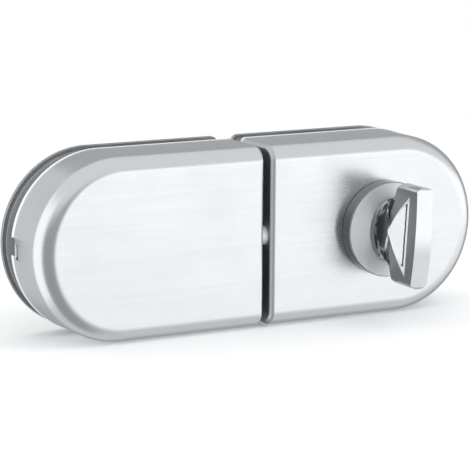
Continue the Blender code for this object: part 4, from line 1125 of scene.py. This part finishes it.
def thumb_turn():
    """The thumb turn: a blade with a hollow in each side, on an oval neck and a journal."""
    bm = bmesh.new()
    pushed(bm, blade_outline(ROSE_LOW.y - FREE - NECK_SINK), -BLADE_HALF, BLADE_HALF, "X")
    rim = [e for e in bm.edges if abs(e.verts[0].co.x - e.verts[1].co.x) < HAIR / 10]
    bmesh.ops.bevel(bm, geom=rim, offset=BLADE_EDGE, segments=4, affect="EDGES", profile=0.5)
    piece = finish_mesh("thumb_turn_blade", bm, thumb_turn_chrome())
    for end in (1, -1):
        cut(piece, dome_cutter(end))
    cut(piece, neck_solid(), "UNION")
    cut(piece, stem_solid(), "UNION")
    for side in (-1, 1):
        cut(piece, pocket_cutter(side))
    half = node_radius("spindle") + FREE
    socket = bmesh.new()
    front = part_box("spindle")[0].y - FREE
    block(socket, (-half, front, -half), (half, TURN_HIGH.y + SHEET, half))
    cut(piece, socket)
    merge_flats(piece)
    ease_edges(piece, TURN_EASE, 2, 30)
    piece.data.transform(Matrix.Translation((TURN_X, 0, 0)) @ Matrix.Rotation(TURN_TILT, 4, "Y"))
    hand_over(piece, "turn_unit", "polished_chrome", "thumb_turn")


def deadbolt_bar():
    """The round bolt, chamfered at its nose and turned down at its tail."""
    low, high = (corner.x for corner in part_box("deadbolt"))
    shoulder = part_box("rack_carriage")[0].x - FREE
    profile = [(0, low), (BOLT_RADIUS - BOLT_NOSE_CHAMFER, low)]
    profile += [(BOLT_RADIUS, low + BOLT_NOSE_CHAMFER), (BOLT_RADIUS, shoulder)]
    profile += [(BOLT_TAIL_RADIUS, shoulder), (BOLT_TAIL_RADIUS, high), (0, high)]
    piece = lathed("deadbolt_bar", profile, bolt_chrome(), (0, 0), steps=BOLT_STEPS)
    piece.data.transform(Matrix.Translation((0, BOLT_Y, 0)) @ Matrix.Rotation(-math.pi / 2, 4, "Z"))
    ease_edges(piece, BOLT_EASE)
    hand_over(piece, "bolt_unit", "polished_chrome", "deadbolt")


# Screws, washer and key cylinder


def screw_tree():
    """A hexagon-socket screw at each point, pointing into the lock along +Y."""
    sizes = {"Head": 0.003, "Height": 0.002, "Shank": 0.002, "Length": 0.01, "Edge": 0.0003}
    tree = Tree("screws", sizes)
    head, height, shank, length, edge = (tree.given[name] for name in sizes)
    top = tree.product(height, -1.0)
    tall = tree.product(height, CUTTER_RISE)
    slim = tree.maths("SUBTRACT", head, edge)
    crown = tree.cone(slim, tree.maths("ADD", slim, tall), top, tall)
    blank = tree.bar(head, tree.maths("SUBTRACT", top, edge), tree.maths("ADD", height, edge))
    cap = tree.joined("INTERSECT", blank, crown)
    start = tree.product(height, STEM_START)
    early = tree.maths("SUBTRACT", start, edge)
    span = tree.maths("SUBTRACT", length, early)
    tip = tree.maths("SUBTRACT", shank, edge)
    point = tree.cone(tree.maths("ADD", tip, span), tip, early, span)
    stem = tree.joined("INTERSECT", tree.bar(shank, start, span), point)
    solid = tree.joined("UNION", cap, stem)
    wide = tree.product(head, HEX_SHARE)
    hexagon = tree.bar(wide, tree.product(height, -CUTTER_RISE), height, 6)
    tree.stand(tree.joined("DIFFERENCE", solid, hexagon), -math.pi / 2)
    return tree


def all_screws():
    """Every screw of the lock, in sets that take the place of their nodes."""
    tree = screw_tree()
    finish = screw_steel()
    small = (SMALL_HEAD_HEIGHT, SMALL_SHANK)
    clamps = clamp_screws("lock") + clamp_screws("strike")
    blocks = [f"{kind}_screw_{number}" for kind in ("guide", "keeper") for number in (1, 2)]
    sets = [("clamp_screws", clamps, CLAMP_HEAD_HEIGHT, CLAMP_SHANK), ("block_screws", blocks, *small)]
    sets.append(("bridge_screws", ["bridge_screw_top", "bridge_screw_bottom"], *small))
    sets.append(("cylinder_screws", ["cylinder_screw_left", "cylinder_screw_right"], *small))
    sets.append(("leaf_screw", ["spring_screw"], *small))
    for name, nodes, height, shank in sets:
        low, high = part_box(nodes[0])
        seat = low.y + height
        points = [(node_middle(node).x, seat, node_middle(node).z) for node in nodes]
        head = node_radius(nodes[0])
        values = {"Head": head, "Height": height, "Shank": shank, "Length": high.y - seat}
        piece = tree.grow(name, points, **values, Edge=head * SCREW_EDGE, Finish=finish)
        hand_over(piece, "housing", "zinc_casting", *nodes)


def washer_tree():
    """A flat strip bent into a ring round Y, which rises and falls as a sine."""
    sizes = {"Inner": 0.009, "Outer": 0.013, "Sheet": 0.0003, "Rise": 0.0002}
    tree = Tree("waved_ring", sizes)
    inner, outer, sheet, rise = (tree.given[name] for name in sizes)
    radius = tree.product(tree.maths("ADD", inner, outer), 0.5)
    inputs = {"Resolution": ROUND_STEPS, "Radius": radius}
    path = tree.fed("GeometryNodeCurvePrimitiveCircle", inputs, mode="RADIUS")
    inputs = {"Width": tree.maths("SUBTRACT", outer, inner), "Height": sheet}
    strip = tree.fed("GeometryNodeCurvePrimitiveQuadrilateral", inputs, mode="RECTANGLE")
    swept = tree.fed("GeometryNodeCurveToMesh", {"Curve": path, "Profile Curve": strip})
    place = tree.split(tree.node("GeometryNodeInputPosition").outputs["Position"])
    angle = tree.maths("ARCTAN2", place["Y"], place["X"])
    wave = tree.maths("SINE", tree.product(angle, WASHER_WAVES))
    inputs = {"Geometry": swept, "Offset": tree.along(tree.product(wave, rise))}
    tree.stand(tree.fed("GeometryNodeSetPosition", inputs), math.pi / 2)
    return tree


def waved_washer():
    """The washer that keeps the thumb turn from rattling."""
    low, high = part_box("wave_washer")
    rise = (high.y - low.y - WASHER_SHEET) / 2 * WASHER_FILL
    values = {"Inner": ROSE_BORE, "Outer": node_radius("wave_washer"), "Sheet": WASHER_SHEET}
    points = [(TURN_X, (low.y + high.y) / 2, 0.0)]
    finish = FINISHES["spring_steel"]
    piece = washer_tree().grow("waved_washer", points, **values, Rise=rise, Finish=finish)
    hand_over(piece, "housing", "spring_steel", "wave_washer")


def cylinder_body():
    """The brass body of the key cylinder, bored for its plug and drilled for its screws."""
    front, rear = (corner.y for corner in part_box("cylinder_body"))
    radius = node_radius("cylinder_body")
    bore = node_radius("cylinder_plug") + FREE
    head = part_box("cylinder_ring")[1].y + FREE
    profile = [(bore, front), (CYLINDER_RADIUS - FREE, front), (CYLINDER_RADIUS, front + FREE)]
    profile += [(CYLINDER_RADIUS, head), (radius, head), (radius, rear - 2 * FREE)]
    profile += [(radius - FREE, rear - FREE * 0.6), (radius - 3 * FREE, rear)]
    profile += [(bore + 2 * FREE, rear), (bore, rear - FREE)]
    piece = lathed("key_cylinder_body", profile, FINISHES["turned_brass"], closed=True)
    holes = bmesh.new()
    for node in ("cylinder_screw_left", "cylinder_screw_right"):
        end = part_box(node)[1].y + FREE
        rod(holes, SMALL_SHANK + FREE, front - SHEET, end, (node_middle(node).x, 0), HOLE_STEPS)
    cut(piece, holes)
    flatten_normals(piece)
    hand_over(piece, "housing", "turned_brass", "cylinder_body")


def trim_ring():
    """The domed ring that covers the hole for the key cylinder."""
    low, high = (corner.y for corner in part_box("cylinder_ring"))
    radius = node_radius("cylinder_ring")
    bore = CYLINDER_RADIUS + FREE
    middle = low + (high - low) / 3
    profile = [(bore, low), (radius - FREE, low), (radius, low + FREE)]
    for a in quarter(CORNER_STEPS):
        inner = radius - 2 * RING_EDGE * (1 - math.cos(a))
        profile.append((inner, middle + (high - middle) * math.sin(a)))
    profile.append((bore, high))
    piece = lathed("trim_ring", profile, FINISHES["polished_chrome"], closed=True)
    flatten_normals(piece)
    hand_over(piece, "housing", "polished_chrome", "cylinder_ring")


def key_plug():
    """The plug, with its ribbed keyway behind and the tailpiece's slot in front."""
    front, rear = (corner.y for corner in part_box("cylinder_plug"))
    radius = node_radius("cylinder_plug")
    profile = [(0, front), (radius - FREE, front), (radius, front + FREE), (radius, rear - FREE)]
    profile += [(radius - FREE, rear), (0, rear)]
    piece = lathed("key_plug", profile, FINISHES["polished_chrome"])
    half, high, slim = KEYWAY_HALF, KEYWAY_HEIGHT / 2, KEYWAY_HALF - KEYWAY_RIB
    way = [(half, high), (half, high * 0.45), (slim, high * 0.38), (slim, high * 0.12)]
    way += [(half, high * 0.05), (half, -high), (-half, -high), (-half, -high * 0.40)]
    way += [(-slim, -high * 0.33), (-slim, -high * 0.08), (-half, 0.0), (-half, high)]
    slots = bmesh.new()
    pushed(slots, [(TURN_X + x, z) for x, z in way], rear - KEYWAY_DEPTH, rear + SHEET, "Y")
    low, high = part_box("tailpiece")
    far = (high.x + FREE, high.y + FREE, high.z + FREE)
    block(slots, (low.x - FREE, front - SHEET, low.z - FREE), far)
    cut(piece, slots)
    ease_edges(piece, PLUG_EASE, 1, 40)
    hand_over(piece, "plug_unit", "polished_chrome", "cylinder_plug")


# Studio


def add_camera():
    """The camera, at the photograph's height and side."""
    level = Vector((math.cos(CAMERA_YAW), -math.sin(CAMERA_YAW), 0))
    ahead = Vector((math.sin(CAMERA_YAW), math.cos(CAMERA_YAW), 0))
    forward = ahead * math.cos(CAMERA_PITCH) - Vector((0, 0, math.sin(CAMERA_PITCH)))
    upright = level.cross(forward)
    right = level * math.cos(CAMERA_ROLL) + upright * math.sin(CAMERA_ROLL)
    up = upright * math.cos(CAMERA_ROLL) - level * math.sin(CAMERA_ROLL)
    place = Vector((0, LOCK["front"], 0))
    place -= right * CAMERA_SIDE + up * CAMERA_RISE + forward * CAMERA_DISTANCE
    camera = add_object("camera", bpy.data.cameras.new("camera"))
    camera.data.lens = CAMERA_LENS
    camera.matrix_world = Matrix.Translation(place) @ Matrix((right, up, -forward)).transposed().to_4x4()
    bpy.context.scene.camera = camera


def add_floor():
    """A round pale floor whose edge fades into the white behind it."""
    bm = bmesh.new()
    bmesh.ops.create_circle(bm, cap_ends=True, segments=FLOOR_STEPS, radius=FLOOR_RADIUS)
    mesh = bpy.data.meshes.new("floor")
    bm.to_mesh(mesh)
    bm.free()
    mesh.transform(Matrix.Translation((0, 0, CAD_BOX[0].z)))
    floor = add_object("floor", mesh)
    finish = Finish("pale_floor", 0.0)
    finish.put((FLOOR_TONE, FLOOR_TONE, FLOOR_TONE, 1.0), finish.shader["Base Color"])
    finish.put(FLOOR_ROUGHNESS, finish.shader["Roughness"])
    finish.put(0.0, finish.shader["Specular IOR Level"])
    ray = finish.node("ShaderNodeLightPath").outputs
    finish.put(WHITE, finish.shader["Emission Color"])
    lift = finish.product(ray["Is Camera Ray"], FLOOR_LIFT)
    finish.put(lift, finish.shader["Emission Strength"])
    distance = finish.vectors("LENGTH", finish.coordinates())
    fade = finish.falling(distance, *(FLOOR_RADIUS * share for share in FLOOR_FADE))
    seen = finish.maths("SUBTRACT", 1.0, ray["Is Glossy Ray"])
    finish.put(finish.product(fade, seen), finish.shader["Alpha"])
    mesh.materials.append(finish.material)


class Sky(Nodes):
    """The studio round the lock, made of soft-edged panels set by their direction."""

    def __init__(self):
        self.world = bpy.data.worlds.new("studio")
        self.world.use_nodes = True
        self.tree = self.world.node_tree
        self.tree.nodes.clear()
        x, y, z = self.split(self.coordinates("Generated"))
        turn = self.maths("ARCTAN2", x, self.product(y, -1.0))
        self.azimuth = self.product(turn, 180 / math.pi)
        self.height = self.product(self.maths("ARCSINE", z), 180 / math.pi)
        self.colour = (*BELOW_LEVEL, 1.0)

    def over(self, mask, level):
        """Lay a gray level over the sky where the mask is 1, the darker the cooler."""
        cool = COOLEST + COOL_SPAN * min(level, 1.0)
        self.colour = self.mix(mask, self.colour, (level * cool, level, level * (2 - cool), 1.0))

    def panel(self, around, up, level, soft):
        """One panel between two azimuths and two heights, in degrees, laid over the rest."""
        smooth = {"interpolation_type": "SMOOTHSTEP"}
        across = self.window(self.azimuth, *around, soft, **smooth)
        self.over(self.product(across, self.window(self.height, *up, soft, **smooth)), level)

    def finish(self):
        """White to the camera, panels to shiny surfaces and even light to the rest."""
        colours = ((*EVEN_LIGHT, 1.0), self.colour, WHITE)
        even, panels, white = (self.fed("ShaderNodeBackground", {"Color": c}) for c in colours)
        ray = self.node("ShaderNodeLightPath").outputs
        shiny = self.maths("MAXIMUM", ray["Is Glossy Ray"], ray["Is Transmission Ray"])
        metal = self.fed("ShaderNodeMixShader", {"Fac": shiny, 1: even, 2: panels})
        seen = self.fed("ShaderNodeMixShader", {"Fac": ray["Is Camera Ray"], 1: metal, 2: white})
        self.put(seen, self.node("ShaderNodeOutputWorld").inputs["Surface"])
        bpy.context.scene.world = self.world


def add_world():
    """Pale and dark panels round the lock, over a pale sky and a grayer lower half."""
    sky = Sky()
    sky.over(sky.rising(sky.height, *SKY_EDGE, interpolation_type="SMOOTHSTEP"), SKY_LEVEL)
    sky.panel((-181.0, -146.0), (-50.0, 30.0), 0.62, 5.0)
    sky.panel((90.0, 181.0), (-62.0, 44.0), 0.41, 7.0)
    sky.panel((-141.0, -54.0), (-50.0, 40.0), 1.20, 8.0)
    sky.panel((-57.0, 16.0), (-75.0, 16.0), 0.36, 10.0)
    sky.panel((10.0, 90.0), (-28.0, -6.0), 0.95, 4.0)
    sky.panel((10.0, 90.0), (-12.5, 8.0), 1.35, 3.0)
    sky.finish()


def add_lamp(name, place, target, size, power):
    """A soft square lamp aimed at a point."""
    data = bpy.data.lights.new(name, "AREA")
    data.shape = "SQUARE"
    data.size = size
    data.energy = power
    lamp = add_object(name, data)
    lamp.location = place
    lamp.rotation_euler = (Vector(target) - Vector(place)).to_track_quat("-Z", "Y").to_euler()
    lamp.visible_glossy = False


def set_stage():
    """Camera, floor, world and lamps, with plain view settings."""
    bpy.context.scene.view_settings.view_transform = "Standard"
    add_camera()
    add_floor()
    add_world()
    add_lamp("key", (0.45, -0.55, 0.95), (0.03, 0, 0), 0.8, 2.0)
    add_lamp("fill", (-0.95, -0.40, 0.20), (0.05, 0, 0), 0.6, 2.0)


dress_nodes()
drawn_cover("drawn_cover_left", "strike_cover", STRIKE)
drawn_cover("drawn_cover_right", "lock_cover", LOCK)
back_plate("back_plate_left", "strike_back_plate", STRIKE, clamp_screws("strike"), STRIKE_SETBACK)
back_plate("back_plate_right", "lock_back_plate", LOCK, clamp_screws("lock"), 0)
turned_rose()
thumb_turn()
deadbolt_bar()
all_screws()
waved_washer()
cylinder_body()
trim_ring()
key_plug()
set_stage()
